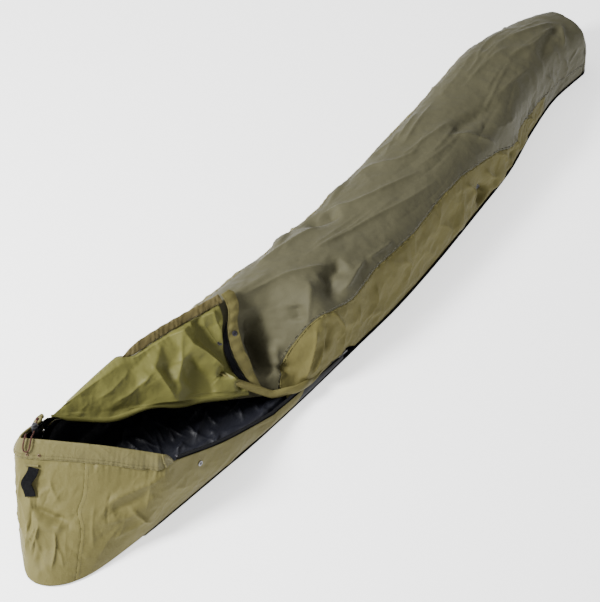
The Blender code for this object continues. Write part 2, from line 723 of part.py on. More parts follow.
def cord_lock(bivy, black, steel):
    """Barrel that slides on the tail, with its sprung plunger."""
    start, level = straight_start()
    centre = start + level * LOCK_AT
    slide = add_empty("cord_lock_slide", centre, bivy)
    up = Vector((0, 0, 1))
    base = centre - up * LOCK_HIGH * 0.45
    frame = axes_at(base, level, up)
    bore_r = PLUNGER_R + PLUNGER_PLAY
    floor, top = 0.0022, LOCK_HIGH
    barrel = disc_solid("cord_lock_barrel", (
        (0, 0), (LOCK_R * 0.8, 0), (LOCK_R, 0.0014), (LOCK_R, top - 0.0014), (LOCK_R * 0.88, top),
        (bore_r, top), (bore_r, floor), (0, floor)), frame, black, slide, 24)
    cut(barrel, centre, level, LOCK_HOLE_R, 0.012, "cord_lock_barrel_hole")
    lift = floor + PRESS_TRAVEL + 0.0002
    plunger_top = top + 0.0070
    plunger = disc_solid("cord_lock_plunger", (
        (0, lift), (PLUNGER_R, lift), (PLUNGER_R, plunger_top - 0.0012), (PLUNGER_R * 0.8, plunger_top),
        (0, plunger_top)), frame, black, slide, 20)
    slot = LOCK_HOLE_R + PRESS_TRAVEL / 2
    cut(plunger, centre + up * (PRESS_TRAVEL / 2 - 0.0006), level, slot, 0.012, "cord_lock_plunger_hole")
    turns, points_per_turn = 2, 12
    radius = PLUNGER_R - 0.0016
    wire = 0.0004
    low, high = floor + wire + 0.0003, lift - wire - 0.0003
    coil = []
    for k in range(turns * points_per_turn + 1):
        turn = 2 * math.pi * k / points_per_turn
        height = low + (high - low) * k / (turns * points_per_turn)
        coil.append(frame @ Vector((radius * math.cos(turn), radius * math.sin(turn), height)))
    tube("cord_lock_spring", coil, wire, steel, slide, 1)


# Zip and storm flap

def zip_line(row, over):
    """Point a height over the edge of the zip wall, inside it."""
    edge = ring_wall(row, 1.0)
    return edge - ring_out(row) * ZIP_INSIDE + Vector((0, 0, over))


def wall_zip(bivy, black):
    rows = [float(r) for r in np.linspace(0.03, ROW_ZIP_TOP, 30)]
    heights = (TAPE_LOW, (TAPE_LOW + TAPE_HIGH) / 2, TAPE_HIGH)
    grid = [[zip_line(r, h) + ring_out(r) * TAPE_THICK / 2 for h in heights] for r in rows]
    sheet("wall_zip_tape", grid, -TAPE_THICK, black, bivy)
    rows = np.linspace(0.03, ROW_ZIP_TOP - 0.05, 24)
    coil = fine_route([zip_line(float(r), COIL_OVER) for r in rows], 40)
    tube("wall_zip_coil", coil, COIL_R, black, bivy, 1)
    side = [zip_line(float(r), 0.0) - ring_out(float(r)) * 0.0080 for r in np.linspace(0.06, 1.22, 12)]
    up = Vector((0, 0, 1))
    grid = [[p + up * h + Vector((0, TAPE_THICK / 2, 0)) for h in (0.0138, 0.0220, 0.0300)] for p in side]
    sheet("side_zip_tape", grid, -TAPE_THICK, black, bivy)
    tube("side_zip_coil", [p + up * 0.0110 for p in side], COIL_R, black, bivy, 1)


def zip_stops(bivy, steel):
    """Metal stops at both ends of the zip's track."""
    low = zip_line(0.0, COIL_OVER) + Vector((0.0075, 0, 0))
    high = zip_line(ROW_ZIP_TOP, COIL_OVER)
    for name, place in (("zip_end_stop", low), ("zip_top_stop", high)):
        outline = [(-0.0022, -0.0030), (0.0022, -0.0030), (0.0022, 0.0030), (-0.0022, 0.0030)]
        frame = axes_at(place + Vector((0, 0.0022, 0)), Vector((1, 0, 0)), Vector((0, -1, 0)))
        extrude_outline(name, outline, 0.0044, frame, steel, bivy, 0.0006)


def zip_direction():
    """Direction in which the slider closes the zip, along the straight part of its track."""
    return (zip_line(1.9, COIL_OVER) - zip_line(0.1, COIL_OVER)).normalized()


def slider_place():
    return zip_line(0.1, COIL_OVER) + zip_direction() * (SLIDER_START - 0.0130)


def zip_slider(bivy, black):
    """Slider that straddles the coil, its bridge, and the pull under the bridge."""
    along = zip_direction()
    out = Vector((0, -1, 0))
    up = out.cross(along)
    up = up if up.z > 0 else -up
    out = along.cross(up)
    out = out if out.y < 0 else -out
    place = slider_place()
    track = add_empty("slider_track", place, bivy)
    room, plate = SLIDER_ROOM, SLIDER_PLATE
    wide = room + plate
    foot, roof = -0.0060, room + plate
    outline = [(-wide, foot), (-room, foot), (-room, room), (room, room), (room, foot), (wide, foot),
               (wide, roof),
               (-wide, roof)]
    frame = Matrix((out, up, out.cross(up))).transposed().to_4x4()
    frame.translation = place - out.cross(up) * SLIDER_LONG / 2
    extrude_outline("zip_slider", outline, SLIDER_LONG, frame, black, track, 0.0004)
    face = place + out * wide
    bridge = [face + along * a + out * b for a, b in
              ((-0.0045, 0.0004), (-0.0045, 0.0026), (-0.0036, 0.0034), (0.0036, 0.0034), (0.0045, 0.0026),
               (0.0045, 0.0004))]
    tube("zip_slider_bridge", bridge, 0.0006, black, track)
    pull_axis = add_empty("pull_axis", face + out * 0.0017 - place, track)
    cells_along = (-0.0006, 0.0006, 0.0064, PULL_LONG)
    cells_up = (-0.0035, -0.0020, 0.0020, 0.0035)
    pull_frame = Matrix((-along, up, (-along).cross(up))).transposed().to_4x4()
    pull_frame.translation = face + out * 0.0017
    cell_plate("zip_pull", cells_along, cells_up, (1, 1), 0.0011, pull_frame, black, pull_axis)


def cell_plate(name, across, up, hole, thickness, frame, finish_material, parent):
    """Plate made of a grid of cells with one left out as a through hole."""
    points, faces = [], []
    cols, rows = len(across), len(up)
    for z in (thickness / 2, -thickness / 2):
        points += [frame @ Vector((a, b, z)) for a in across for b in up]
    layer = cols * rows
    edges = {}
    for i in range(cols - 1):
        for j in range(rows - 1):
            if (i, j) == hole:
                continue
            cell = (i * rows + j, (i + 1) * rows + j, (i + 1) * rows + j + 1, i * rows + j + 1)
            faces.append(cell)
            faces.append(tuple(c + layer for c in reversed(cell)))
            for k in range(4):
                a, b = cell[k], cell[(k + 1) % 4]
                if (b, a) in edges:
                    del edges[(b, a)]
                else:
                    edges[(a, b)] = True
    for a, b in edges:
        faces.append((a, a + layer, b + layer, b))
    item = new_mesh(name, points, faces)
    face_outwards(item.data)
    return finish(item, finish_material, parent)


def edge_shift(share):
    """How the curve of the flap's zip edge moves a point of its straight line, level with the fold."""
    bow = float(smooth_through([b[0] for b in EDGE_BOW], [b[1] for b in EDGE_BOW], share))
    along_fold = (FOLD_NEAR - FOLD_FAR).normalized()
    return along_fold * bow / along_fold.dot(flap_axes()[1])


def flap_edge_point(share, across, lift=0.0):
    """Point by the flap's zip edge: share of the way from fold to tip, distance out, height over it."""
    _, out = flap_axes()
    return FOLD_NEAR.lerp(FLAP_TIP, share) + out * across + edge_shift(share) + fold_normal() * lift


def hem_line(share, inset):
    """Point of the flap's front hem, from the fold's far end round the far corner to the tip."""
    keys = (FOLD_FAR, FLAP_FAR, FLAP_TIP)
    lengths = [0, (keys[1] - keys[0]).length, (keys[1] - keys[0]).length + (keys[2] - keys[1]).length]
    at = share * lengths[2]
    point = Vector(smooth_through(lengths, np.array(keys), at))
    ahead = Vector(smooth_through(lengths, np.array(keys), min(at + 0.002, lengths[2])))
    behind = Vector(smooth_through(lengths, np.array(keys), max(at - 0.002, 0)))
    along = (ahead - behind).normalized()
    inward = along.cross(fold_normal()).normalized()
    middle = FOLD_FAR.lerp(FOLD_NEAR, 0.6)
    if inward.dot(middle - point) < 0:
        inward = -inward
    return point + inward * inset, inward


def entrance_flap(bivy, coated, khaki, brown, black, steel):
    """Flap folded back over the top panel, coated face up, with its hem, zip half and storm flap."""
    hinge = add_empty("flap_hinge", FOLD_FAR, bivy)
    rows, cols = 13, 12
    fold_end, hem_end = flap_ends()
    edge_along, _ = flap_axes()
    edge_length = (FLAP_TIP - FOLD_NEAR).length
    grid = []
    for i in range(rows):
        v = 0.02 + 0.98 * i / (rows - 1)
        line = []
        for j in range(cols):
            u = j / (cols - 1)
            hem, _ = hem_line(FLAP_HEM_START + (hem_end - FLAP_HEM_START) * u, FLAP_HEM_WIDE + 0.001)
            point = FOLD_FAR.lerp(FOLD_NEAR, fold_end * u).lerp(hem, v)
            share = (point - FOLD_NEAR).dot(edge_along) / edge_length
            line.append(point + edge_shift(share) * u * u)
        grid.append(line)
    sheet("entrance_flap", grid, -CLOTH, coated, hinge)
    stations = []
    for share in np.linspace(0.42, 0.955, 12):
        middle, inward = hem_line(float(share), FLAP_HEM_WIDE / 2)
        stations.append((middle - fold_normal() * CLOTH / 2, -inward, fold_normal(), FLAP_HEM_WIDE))
    hollow_band("flap_hem_casing", stations, FLAP_HEM_THICK, CASING_SKIN, khaki, hinge)
    cord = [s[0] for s in stations[1:-1]]
    tube("flap_drawcord", fine_route(cord, 14), CORD_R, brown, hinge)
    flap_zip(hinge, black)
    snap_place = flap_edge_point(0.575, -0.0355, 0.0004)
    press_stud("flap_snap", snap_place, fold_normal(), steel, hinge)
    storm_flap(hinge, khaki, steel)


def flap_ends():
    """Shares along the fold and along the hem at which the coated cloth meets its zip edge."""
    _, out = flap_axes()
    fold_end = 1 + FLAP_EDGE / (FOLD_NEAR - FOLD_FAR).dot(out)
    low, high = FLAP_HEM_START, 1.0
    for _ in range(40):
        middle = (low + high) / 2
        point, _ = hem_line(middle, FLAP_HEM_WIDE + 0.001)
        if (point - FOLD_NEAR).dot(out) < FLAP_EDGE:
            low = middle
        else:
            high = middle
    return fold_end, low


def flap_zip(hinge, black):
    shares = [float(s) for s in np.linspace(0.10, 0.84, 14)]
    normal = fold_normal()
    steps = [FLAP_TAPE[0] + (FLAP_TAPE[1] - FLAP_TAPE[0]) * k / 2 for k in range(3)]
    grid = [[flap_edge_point(s, across, -0.0005) for across in steps]
            for s in shares]
    sheet("flap_zip_tape", grid, TAPE_THICK, black, hinge)
    coil = [flap_edge_point(s, FLAP_COIL) - normal * 0.001 for s in shares]
    tube("flap_zip_coil", coil, COIL_R, black, hinge, 1)


def storm_axis():
    """Start and direction of the line that the storm flap turns about, just inside its sewn edge."""
    inside = STORM_FLAP[0] - 0.003
    start = flap_edge_point(0.15, inside, -STORM_CLOTH / 2)
    return start, (flap_edge_point(0.45, inside, -STORM_CLOTH / 2) - start).normalized()


def storm_flap(hinge, khaki, steel):
    """Strip that covers the zip; it turns up about its sewn edge."""
    axis = add_empty("storm_flap_hinge", storm_axis()[0] - FOLD_FAR, hinge)
    grid = []
    for s in np.linspace(*STORM_SPAN, 17):
        taper = min(1.0, 0.45 + 2.2 * (s - STORM_SPAN[0]), 0.75 + 6 * (STORM_SPAN[1] - s))
        wide = (STORM_FLAP[1] - STORM_FLAP[0]) * taper
        grid.append([flap_edge_point(float(s), STORM_FLAP[0] + wide * k / 3) for k in range(4)])
    sheet("storm_flap", grid, -STORM_CLOTH, khaki, axis)
    press_stud("storm_flap_snap", flap_edge_point(0.565, 0.0125, 0.0004), fold_normal(), steel, axis)


def press_stud(name, place, facing, finish_material, parent):
    """Domed press stud standing on cloth."""
    profile = ((0, 0), (SNAP_R, 0), (SNAP_R, 0.0010), (SNAP_R * 0.72, 0.0022), (SNAP_R * 0.5, 0.0026),
               (SNAP_R * 0.42, 0.0016), (0, 0.0016))
    return disc_solid(name, profile, axes_at(place, Vector((1, 0, 0)), facing), finish_material, parent)


def wall_snap(bivy, steel, black):
    """Press stud socket on the zip wall: a metal ring with a black cap."""
    row, v = 4.52, 0.79
    place = ring_wall(row, v)
    along = ring_wall(row + 0.05, v) - ring_wall(row - 0.05, v)
    up = ring_wall(row, v + 0.05) - ring_wall(row, v - 0.05)
    facing = along.cross(up).normalized()
    facing = facing if facing.dot(ring_out(row)) > 0 else -facing
    frame = axes_at(place + facing * 0.0019, up, facing)
    ring_solid("wall_snap_ring", SNAP_R * 0.62, SNAP_R, 0.0020, frame, steel, bivy)
    cap = SNAP_R * 0.62 - 0.0005
    profile = ((0, -0.0008), (cap, -0.0008), (cap, 0.0006), (cap * 0.6, 0.0014), (0, 0.0014))
    disc_solid("wall_snap_cap", profile, frame, black, bivy)


# Webbing tab on the hood

def tab_frame():
    """Middle of the slit, with the directions across, down and out of the sloping end wall."""
    high, low = ring_wall(TAB_ROW, 0.93), ring_wall(TAB_ROW, 0.60)
    down = (low - high).normalized()
    across = (ring_wall(TAB_ROW + 0.1, 0.93) - ring_wall(TAB_ROW - 0.1, 0.93)).normalized()
    out = across.cross(down).normalized()
    if out.dot(ring_out(TAB_ROW)) < 0:
        out = -out
    across = down.cross(out)
    return high + out * 0.0040, across, down, out


def webbing_tab(bivy, black, khaki):
    place, across, down, out = tab_frame()
    hinge = add_empty("tab_hinge", place, bivy)
    half = TAB_WIDE / 2
    outline = [(-half, 0.0), (half, 0.0), (half, TAB_LONG - 0.004), (half * 0.5, TAB_LONG),
               (-half, TAB_LONG - 0.010)]
    frame = Matrix((across, down, across.cross(down))).transposed().to_4x4()
    frame.translation = place - across.cross(down) * TAB_THICK / 2
    extrude_outline("webbing_tab", outline, TAB_THICK, frame, black, hinge, 0.0005)
    welt_half, welt_top, welt_foot = half + 0.004, -0.0080, -0.0022
    welt = [(-welt_half, welt_top), (welt_half, welt_top), (welt_half, welt_foot), (-welt_half, welt_foot)]
    extrude_outline("tab_slit_welt", welt, TAB_THICK, frame, khaki, bivy, 0.0006)


def main():
    clear_scene()
    bivy = add_empty("bivy", -ORIGIN)
    khaki = material("khaki_nylon", KHAKI, 0.75)
    grey = material("grey_green_laminate", GREY_GREEN, 0.7)
    coated = material("coated_inner", COATED_GREEN, 0.45)
    black = material("black_nylon", BLACK, 0.5)
    brown = material("brown_cord", BROWN, 0.8)
    steel = material("dark_metal", STEEL, 0.35, 1.0)
    floor_panel(bivy, black)
    inner_lining(bivy, black)
    top_panel(bivy, grey)
    side_panel_near(bivy, khaki)
    side_panel_far(bivy, khaki)
    foot_near_gusset(bivy, grey)
    foot_panel(bivy, grey)
    hood_panels(bivy, khaki)
    hood_hem(bivy, khaki, brown)
    casing_eyelet("tab_eyelet_near", TAB_ROW - 0.26, -0.015, 0.0040, brown, bivy)
    casing_eyelet("tab_eyelet_far", TAB_ROW + 0.24, -0.015, 0.0040, brown, bivy)
    drawcord_tail(bivy, brown)
    cord_lock(bivy, black, steel)
    wall_zip(bivy, black)
    zip_stops(bivy, steel)
    zip_slider(bivy, black)
    entrance_flap(bivy, coated, khaki, brown, black, steel)
    wall_snap(bivy, steel, black)
    webbing_tab(bivy, black, khaki)


main()
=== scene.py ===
import math

import bmesh
import bpy
import numpy as np
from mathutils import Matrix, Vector, noise
from mathutils.geometry import delaunay_2d_cdt


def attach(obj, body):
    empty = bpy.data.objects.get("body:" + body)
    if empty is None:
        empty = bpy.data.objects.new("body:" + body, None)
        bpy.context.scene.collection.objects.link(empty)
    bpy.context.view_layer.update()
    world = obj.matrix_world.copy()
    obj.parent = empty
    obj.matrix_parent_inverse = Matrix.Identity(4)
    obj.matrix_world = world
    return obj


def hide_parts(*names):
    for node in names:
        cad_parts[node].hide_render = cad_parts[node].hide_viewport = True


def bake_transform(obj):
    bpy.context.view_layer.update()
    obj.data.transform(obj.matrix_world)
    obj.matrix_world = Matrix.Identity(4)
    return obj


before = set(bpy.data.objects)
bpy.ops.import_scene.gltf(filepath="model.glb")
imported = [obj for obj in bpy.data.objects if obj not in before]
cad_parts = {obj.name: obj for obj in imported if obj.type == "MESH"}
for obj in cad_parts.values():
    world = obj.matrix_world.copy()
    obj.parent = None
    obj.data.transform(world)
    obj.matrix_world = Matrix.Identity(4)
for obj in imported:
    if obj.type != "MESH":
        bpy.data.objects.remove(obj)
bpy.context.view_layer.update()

# ---------------------------------------------------------------- driving shape, in part.py's working axes

ORIGIN = np.array([0.0120, 0.0247, 0.0])    # from the working axes to the frame
WALL_FOOT_Z, LOWEST_Z = 0.0056, 0.0042
FOOT_END_X, FOOT_BULGE, HEAD_X = 1.140, 0.048, -1.156
PANEL_END_X = FOOT_END_X - 0.0006
CASING_THICK = 0.0100
CLOTH_THICK, THIN_CLOTH = 0.0012, 0.0010
FLAP_CLEARANCE = 0.013
ROUND = 0.72  # typical length of the section's outline, for measuring across the tube
# x, near side, far side, height
STATIONS = np.array((
    (-1.00, -0.122, 0.188, 0.258), (-0.88, -0.136, 0.194, 0.266), (-0.70, -0.148, 0.198, 0.266),
    (-0.50, -0.159, 0.186, 0.262), (-0.30, -0.162, 0.170, 0.254), (-0.10, -0.160, 0.156, 0.246),
    (0.10, -0.157, 0.154, 0.240), (0.30, -0.140, 0.165, 0.240), (0.50, -0.116, 0.182, 0.238),
    (0.70, -0.088, 0.204, 0.234), (0.86, -0.046, 0.218, 0.230), (1.00, -0.020, 0.192, 0.214),
    (1.15, -0.022, 0.146, 0.182)))
# outline of a section, from its near foot to its far foot: across, up
SECTION = np.array((
    (-0.970, 0.00), (-1.000, 0.12), (-1.000, 0.35), (-0.955, 0.62), (-0.850, 0.82), (-0.600, 0.95),
    (-0.250, 1.00),
    (0.200, 1.00), (0.580, 0.93), (0.840, 0.76), (0.970, 0.50), (1.000, 0.25), (0.960, 0.00)))
# wall round the opening and the hood, one row a ring position: foot x, y, then top x, y, z
RING = np.array((
    (-0.140, -0.160, -0.140, -0.1610, 0.0200), (-0.270, -0.162, -0.270, -0.1620, 0.0335),
    (-0.400, -0.161, -0.400, -0.1620, 0.0470), (-0.440, -0.160, -0.440, -0.1610, 0.0540),
    (-0.620, -0.152, -0.610, -0.1560, 0.1200), (-0.780, -0.143, -0.760, -0.1420, 0.1930),
    (-0.930, -0.133, -0.812, -0.1200, 0.1900), (-1.060, -0.112, -0.888, -0.0300, 0.2120),
    (-1.135, -0.068, -0.950, 0.0550, 0.2170), (-1.158, -0.008, -0.995, 0.1170, 0.2170),
    (-1.118, 0.055, -1.010, 0.1520, 0.2160), (-1.062, 0.118, -0.990, 0.1750, 0.2140),
    (-0.985, 0.165, -0.945, 0.1830, 0.2110), (-0.885, 0.190, -0.885, 0.1880, 0.2060)))
ZIP_ROWS = 6                                # rows of RING along the zip
RIM_FIRST_ROW = 5
RIM = np.array((
    (-0.785, -0.1330, 0.2300), (-0.800, -0.1100, 0.2360), (-0.868, -0.0180, 0.2550), (-0.926, 0.0660, 0.2600),
    (-0.968, 0.1280, 0.2610), (-0.984, 0.1560, 0.2580), (-0.964, 0.1650, 0.2520), (-0.930, 0.1650, 0.2460),
    (-0.888, 0.1620, 0.2390)))
ROW_ZIP_TOP, ROW_CASING, ROW_END_SEAM, ROW_FAR_END = 4.98, (5.12, 12.90), (7.25, 10.5), 12.97
# near seam of the top: x and the share of the way round
NEAR_SEAM = np.array((
    (-0.430, 0.262), (-0.390, 0.272), (-0.352, 0.322), (-0.322, 0.362), (-0.290, 0.378), (-0.240, 0.352),
    (-0.180, 0.296), (-0.145, 0.286), (-0.090, 0.262), (-0.050, 0.281), (0.030, 0.302), (0.195, 0.290),
    (0.340, 0.304), (0.430, 0.296), (0.520, 0.262), (0.610, 0.225), (0.690, 0.150), (0.770, 0.178),
    (0.825, 0.156), (0.935, 0.130), (1.000, 0.100), (1.140, 0.080)))
FAR_SEAM, NEAR_PANEL_X, ZIP_CLEAR_X = 0.70, (-0.350, 0.925), -0.118
SEAM_GAP, GAP = 0.0012, 0.0002 / ROUND
FOLD_FAR = np.array((-0.884, 0.154, 0.242))
FOLD_NEAR = np.array((-0.362, -0.130, 0.068))
FLAP_TIP = np.array((-0.338, 0.078, 0.276))
FLAP_FAR = np.array((-0.600, 0.136, 0.272))
PRESS_REACH = (0.050, 0.190)
STORM_FLAP, STORM_SPAN = (-0.0076, 0.0264), (0.02, 0.985)
FLAP_HEM_WIDE, FLAP_HEM_START = 0.024, 0.40
FLAP_EDGE_OUT = -0.0280
# bow of the flap's zip edge: share of the edge, shift
EDGE_BOW = np.array(((0.0, -0.046), (0.2, -0.056), (0.4, -0.053), (0.65, -0.032), (0.82, -0.006), (0.90, 0.0),
                     (1.0, 0.0)))


def unit(v):
    v = np.asarray(v, float)
    return v / np.maximum(np.linalg.norm(v, axis=-1, keepdims=True), 1e-12)


def smooth(t):
    t = np.clip(t, 0, 1)
    return t * t * (3 - 2 * t)


def bell(t):
    return np.exp(-np.square(t))


def facing(vectors, towards):
    """Vectors turned round where they point away from another set."""
    return np.where((vectors * towards).sum(-1, keepdims=True) < 0, -vectors, vectors)


def walked(points):
    """Length walked along a line, at each of its points."""
    return np.concatenate([[0], np.cumsum(np.linalg.norm(np.diff(points, axis=0), axis=1))])


def interp_points(at, keys, points):
    return np.stack([np.interp(at, keys, points[:, k]) for k in range(3)], -1)


def cubic(keys, values, at):
    """Cubic through rows of values at rising keys, for an array of positions."""
    keys, values = np.asarray(keys, float), np.asarray(values, float)
    at = np.clip(np.atleast_1d(np.asarray(at, float)), keys[0], keys[-1])
    slopes = np.gradient(values, keys, axis=0)
    i = np.clip(np.searchsorted(keys, at, side="right") - 1, 0, len(keys) - 2)
    span = (keys[i + 1] - keys[i])[:, None]
    u = ((at - keys[i]) / span[:, 0])[:, None]
    h = (2 * u**3 - 3 * u**2 + 1, u**3 - 2 * u**2 + u, -2 * u**3 + 3 * u**2, u**3 - u**2)
    return h[0] * values[i] + h[1] * span * slopes[i] + h[2] * values[i + 1] + h[3] * span * slopes[i + 1]


def spline(pairs):
    """Smooth line through three or more pairs of numbers; fewer stay as they are."""
    line = np.array(pairs, float)
    last = len(line) - 1
    return cubic(np.arange(last + 1), line, np.linspace(0, last, 6 * last + 1)) if last > 1 else line


def section_tables():
    fine = cubic(np.arange(len(SECTION)), SECTION, np.linspace(0, len(SECTION) - 1, 240))
    share = walked(fine * (0.16, 0.245))
    return share / share[-1], fine


SHARE, OUTLINE = section_tables()
HALF_OUTLINE = len(SHARE) // 2
UP = np.array((0, 0, 1.0))
FOLD_ALONG = unit(FOLD_NEAR - FOLD_FAR)
FOLD_UP = facing(unit(np.cross(FOLD_ALONG, FLAP_TIP - FOLD_FAR)), UP)
FOLD_ACROSS = facing(np.cross(FOLD_UP, FOLD_ALONG), FLAP_TIP - FOLD_FAR)
ZIP_ALONG = unit(FLAP_TIP - FOLD_NEAR)
ZIP_OUT = facing(np.cross(ZIP_ALONG, FOLD_UP), (1, 0, 0))


def station(x):
    s = cubic(STATIONS[:, 0], STATIONS[:, 1:], x)
    return (s[:, 0] + s[:, 1]) / 2, (s[:, 1] - s[:, 0]) / 2, s[:, 2]


def shell(x, t):
    """Points of the tube's outer surface, for arrays of x and of the share t of the way round."""
    x, t = np.broadcast_arrays(np.asarray(x, float), np.asarray(t, float))
    flat_x, flat_t = x.ravel(), t.ravel()
    middle, half, height = station(flat_x)
    across, up = (np.interp(flat_t, SHARE, OUTLINE[:, k]) for k in (0, 1))
    points = np.stack([flat_x, middle + half * across, np.maximum(height * up, WALL_FOOT_Z)], -1)
    return points.reshape(*x.shape, 3)


def under_flap(points):
    """Presses points of the top down until they clear the folded flap."""
    height = (points - FOLD_FAR) @ FOLD_UP + FLAP_CLEARANCE
    past = ((points - FOLD_NEAR) @ ZIP_OUT - PRESS_REACH[0]) / (PRESS_REACH[1] - PRESS_REACH[0])
    pressed = points.copy()
    pressed[..., 2] -= np.maximum(height, 0) / FOLD_UP[2] * (1 - smooth(past))
    return pressed


def near_seam_share(x):
    x = np.asarray(x, float)
    return np.mean([np.interp(x + d, *NEAR_SEAM.T) for d in np.linspace(-0.018, 0.018, 5)], axis=0)


def zip_wall_height(x):
    return np.interp(-x, -RING[:ZIP_ROWS, 2], RING[:ZIP_ROWS, 4])


def ring_out(row):
    """Level direction out of the ring of walls."""
    rows, row = np.arange(len(RING)), np.atleast_1d(row)
    along = unit(cubic(rows, RING[:, :2], row + 0.05) - cubic(rows, RING[:, :2], row - 0.05))
    return np.stack([-along[:, 1], along[:, 0], np.zeros(len(along))], -1)


def ring_wall(row, v):
    """Points of the hood and zip wall, for arrays of ring position and of the wall's height share."""
    row, v = np.broadcast_arrays(np.asarray(row, float), np.asarray(v, float))
    r, w = row.ravel(), v.ravel()
    t = cubic(np.arange(len(RING)), RING, r)
    foot = np.stack([t[:, 0], t[:, 1], np.full(len(r), WALL_FOOT_Z)], -1)
    rise = t[:, 2:] - foot
    belly = 0.016 * 4 * w * (1 - w) * np.minimum(1, np.linalg.norm(rise, axis=1) / 0.12) * \
        np.clip((8.0 - r) / 2, 0, 1)
    points = foot + rise * w[:, None] + ring_out(r) * belly[:, None]
    points[:, 2] += 0.022 * w**3 * smooth((r - 12.30) / 0.45)
    return points.reshape(*row.shape, 3)


def rim(row):
    return cubic(np.arange(RIM_FIRST_ROW, RIM_FIRST_ROW + len(RIM)), RIM, row)


def casing_frame(row):
    """Middle, up, out and height of the hem casing at ring positions."""
    low, high = ring_wall(row, 1.0) + (0, 0, 0.001), rim(row)
    up = unit(high - low)
    along = unit(rim(row + 0.05) - rim(row - 0.05))
    out = facing(unit(np.cross(along, up)), ring_out(row))
    return (low + high) / 2, up, out, np.linalg.norm(high - low, axis=1)


def edge_shift(share):
    """How the curve of the flap's zip edge moves points of its straight line, level with the fold."""
    bow = cubic(EDGE_BOW[:, 0], EDGE_BOW[:, 1:], np.ravel(share))[:, 0].reshape(np.shape(share))
    return FOLD_ALONG * bow[..., None] / (FOLD_ALONG @ ZIP_OUT)


def flap_at(p, q, h=0.0):
    """A point of the folded flap: p along the fold, q away from it, h over its plane."""
    p, q, h = np.broadcast_arrays(np.asarray(p, float), np.asarray(q, float), np.asarray(h, float))
    return FOLD_FAR + p[..., None] * FOLD_ALONG + q[..., None] * FOLD_ACROSS + h[..., None] * FOLD_UP


def on_shell(*pairs):
    return under_flap(shell(*spline(pairs).T))


def on_wall(*pairs):
    return ring_wall(*spline(pairs).T)


def on_flap(*pairs):
    return flap_at(*np.array(pairs).T)


def in_space(*points):
    return np.array(points)


# ---------------------------------------------------------------- materials

def tint(rgb, factor):
    return tuple(min(1.0, c * factor) for c in rgb)


class Shader:
    """Short-hand for building one Principled material."""

    def __init__(self, name, base, roughness, **constants):
        self.material = bpy.data.materials.new(name)
        self.material.use_nodes = True
        self.tree = self.material.node_tree
        self.body = self.tree.nodes["Principled BSDF"]
        self.set(self.body, Base_Color=(*base, 1), Roughness=roughness, **constants)

    def set(self, node, **settings):
        """Sets a node's own settings and its sockets, whose names have _ for a space."""
        for key, value in settings.items():
            if hasattr(node, key):
                setattr(node, key, value)
            else:
                node.inputs[key.replace("_", " ")].default_value = value
        return node

    def node(self, kind, **settings):
        return self.set(self.tree.nodes.new(kind), **settings)

    def link(self, a, b):
        self.tree.links.new(a, b)

    def place(self):
        return self.node("ShaderNodeTexCoord").outputs["Object"]

    def maths(self, operation, a, b=None):
        made = self.node("ShaderNodeMath", operation=operation)
        for slot, value in enumerate((a, b)):
            if isinstance(value, (int, float)):
                made.inputs[slot].default_value = value
            elif value is not None:
                self.link(value, made.inputs[slot])
        return made.outputs[0]

    def noise(self, scale, detail=3.0, rough=0.55, **settings):
        made = self.node("ShaderNodeTexNoise", **settings)
        self.set(made, Scale=scale, Detail=detail, Roughness=rough)
        self.link(self.place(), made.inputs["Vector"])
        return made.outputs["Fac"]

    def ramp(self, fac, low, dark, high, light):
        """Colour that runs from dark at low to light at high."""
        made = self.node("ShaderNodeValToRGB")
        for element, at, colour in zip(made.color_ramp.elements, (low, high), (dark, light)):
            element.position = at
            element.color = (*colour, 1)
        self.link(fac, made.inputs["Fac"])
        return made.outputs["Color"]

    def multiply(self, a, b):
        made = self.node("ShaderNodeMix", data_type="RGBA", blend_type="MULTIPLY")
        factor, first, second = [s for s in made.inputs if s.enabled][:3]
        factor.default_value = 1.0
        self.link(a, first)
        self.link(b, second)
        return next(s for s in made.outputs if s.enabled)

    def ribs(self, axis, pitch):
        """Waves along one of the cloth's own flat coordinates."""
        flat = self.node("ShaderNodeAttribute", attribute_name="weave")
        split = self.node("ShaderNodeSeparateXYZ")
        self.link(flat.outputs["Vector"], split.inputs[0])
        return self.maths("SINE", self.maths("MULTIPLY", split.outputs[axis], 2 * math.pi / pitch))

    def bump(self, height, strength, distance, previous=None):
        made = self.node("ShaderNodeBump", Strength=strength, Distance=distance)
        self.link(height, made.inputs["Height"])
        if previous is not None:
            self.link(previous, made.inputs["Normal"])
        self.link(made.outputs[0], self.body.inputs["Normal"])
        return made.outputs[0]

    def uneven_gloss(self, field, amount, roughness):
        change = self.maths("MULTIPLY", self.maths("SUBTRACT", field, 0.5), amount)
        self.link(self.maths("ADD", change, roughness), self.body.inputs["Roughness"])

    def colour(self, socket):
        self.link(socket, self.body.inputs["Base Color"])


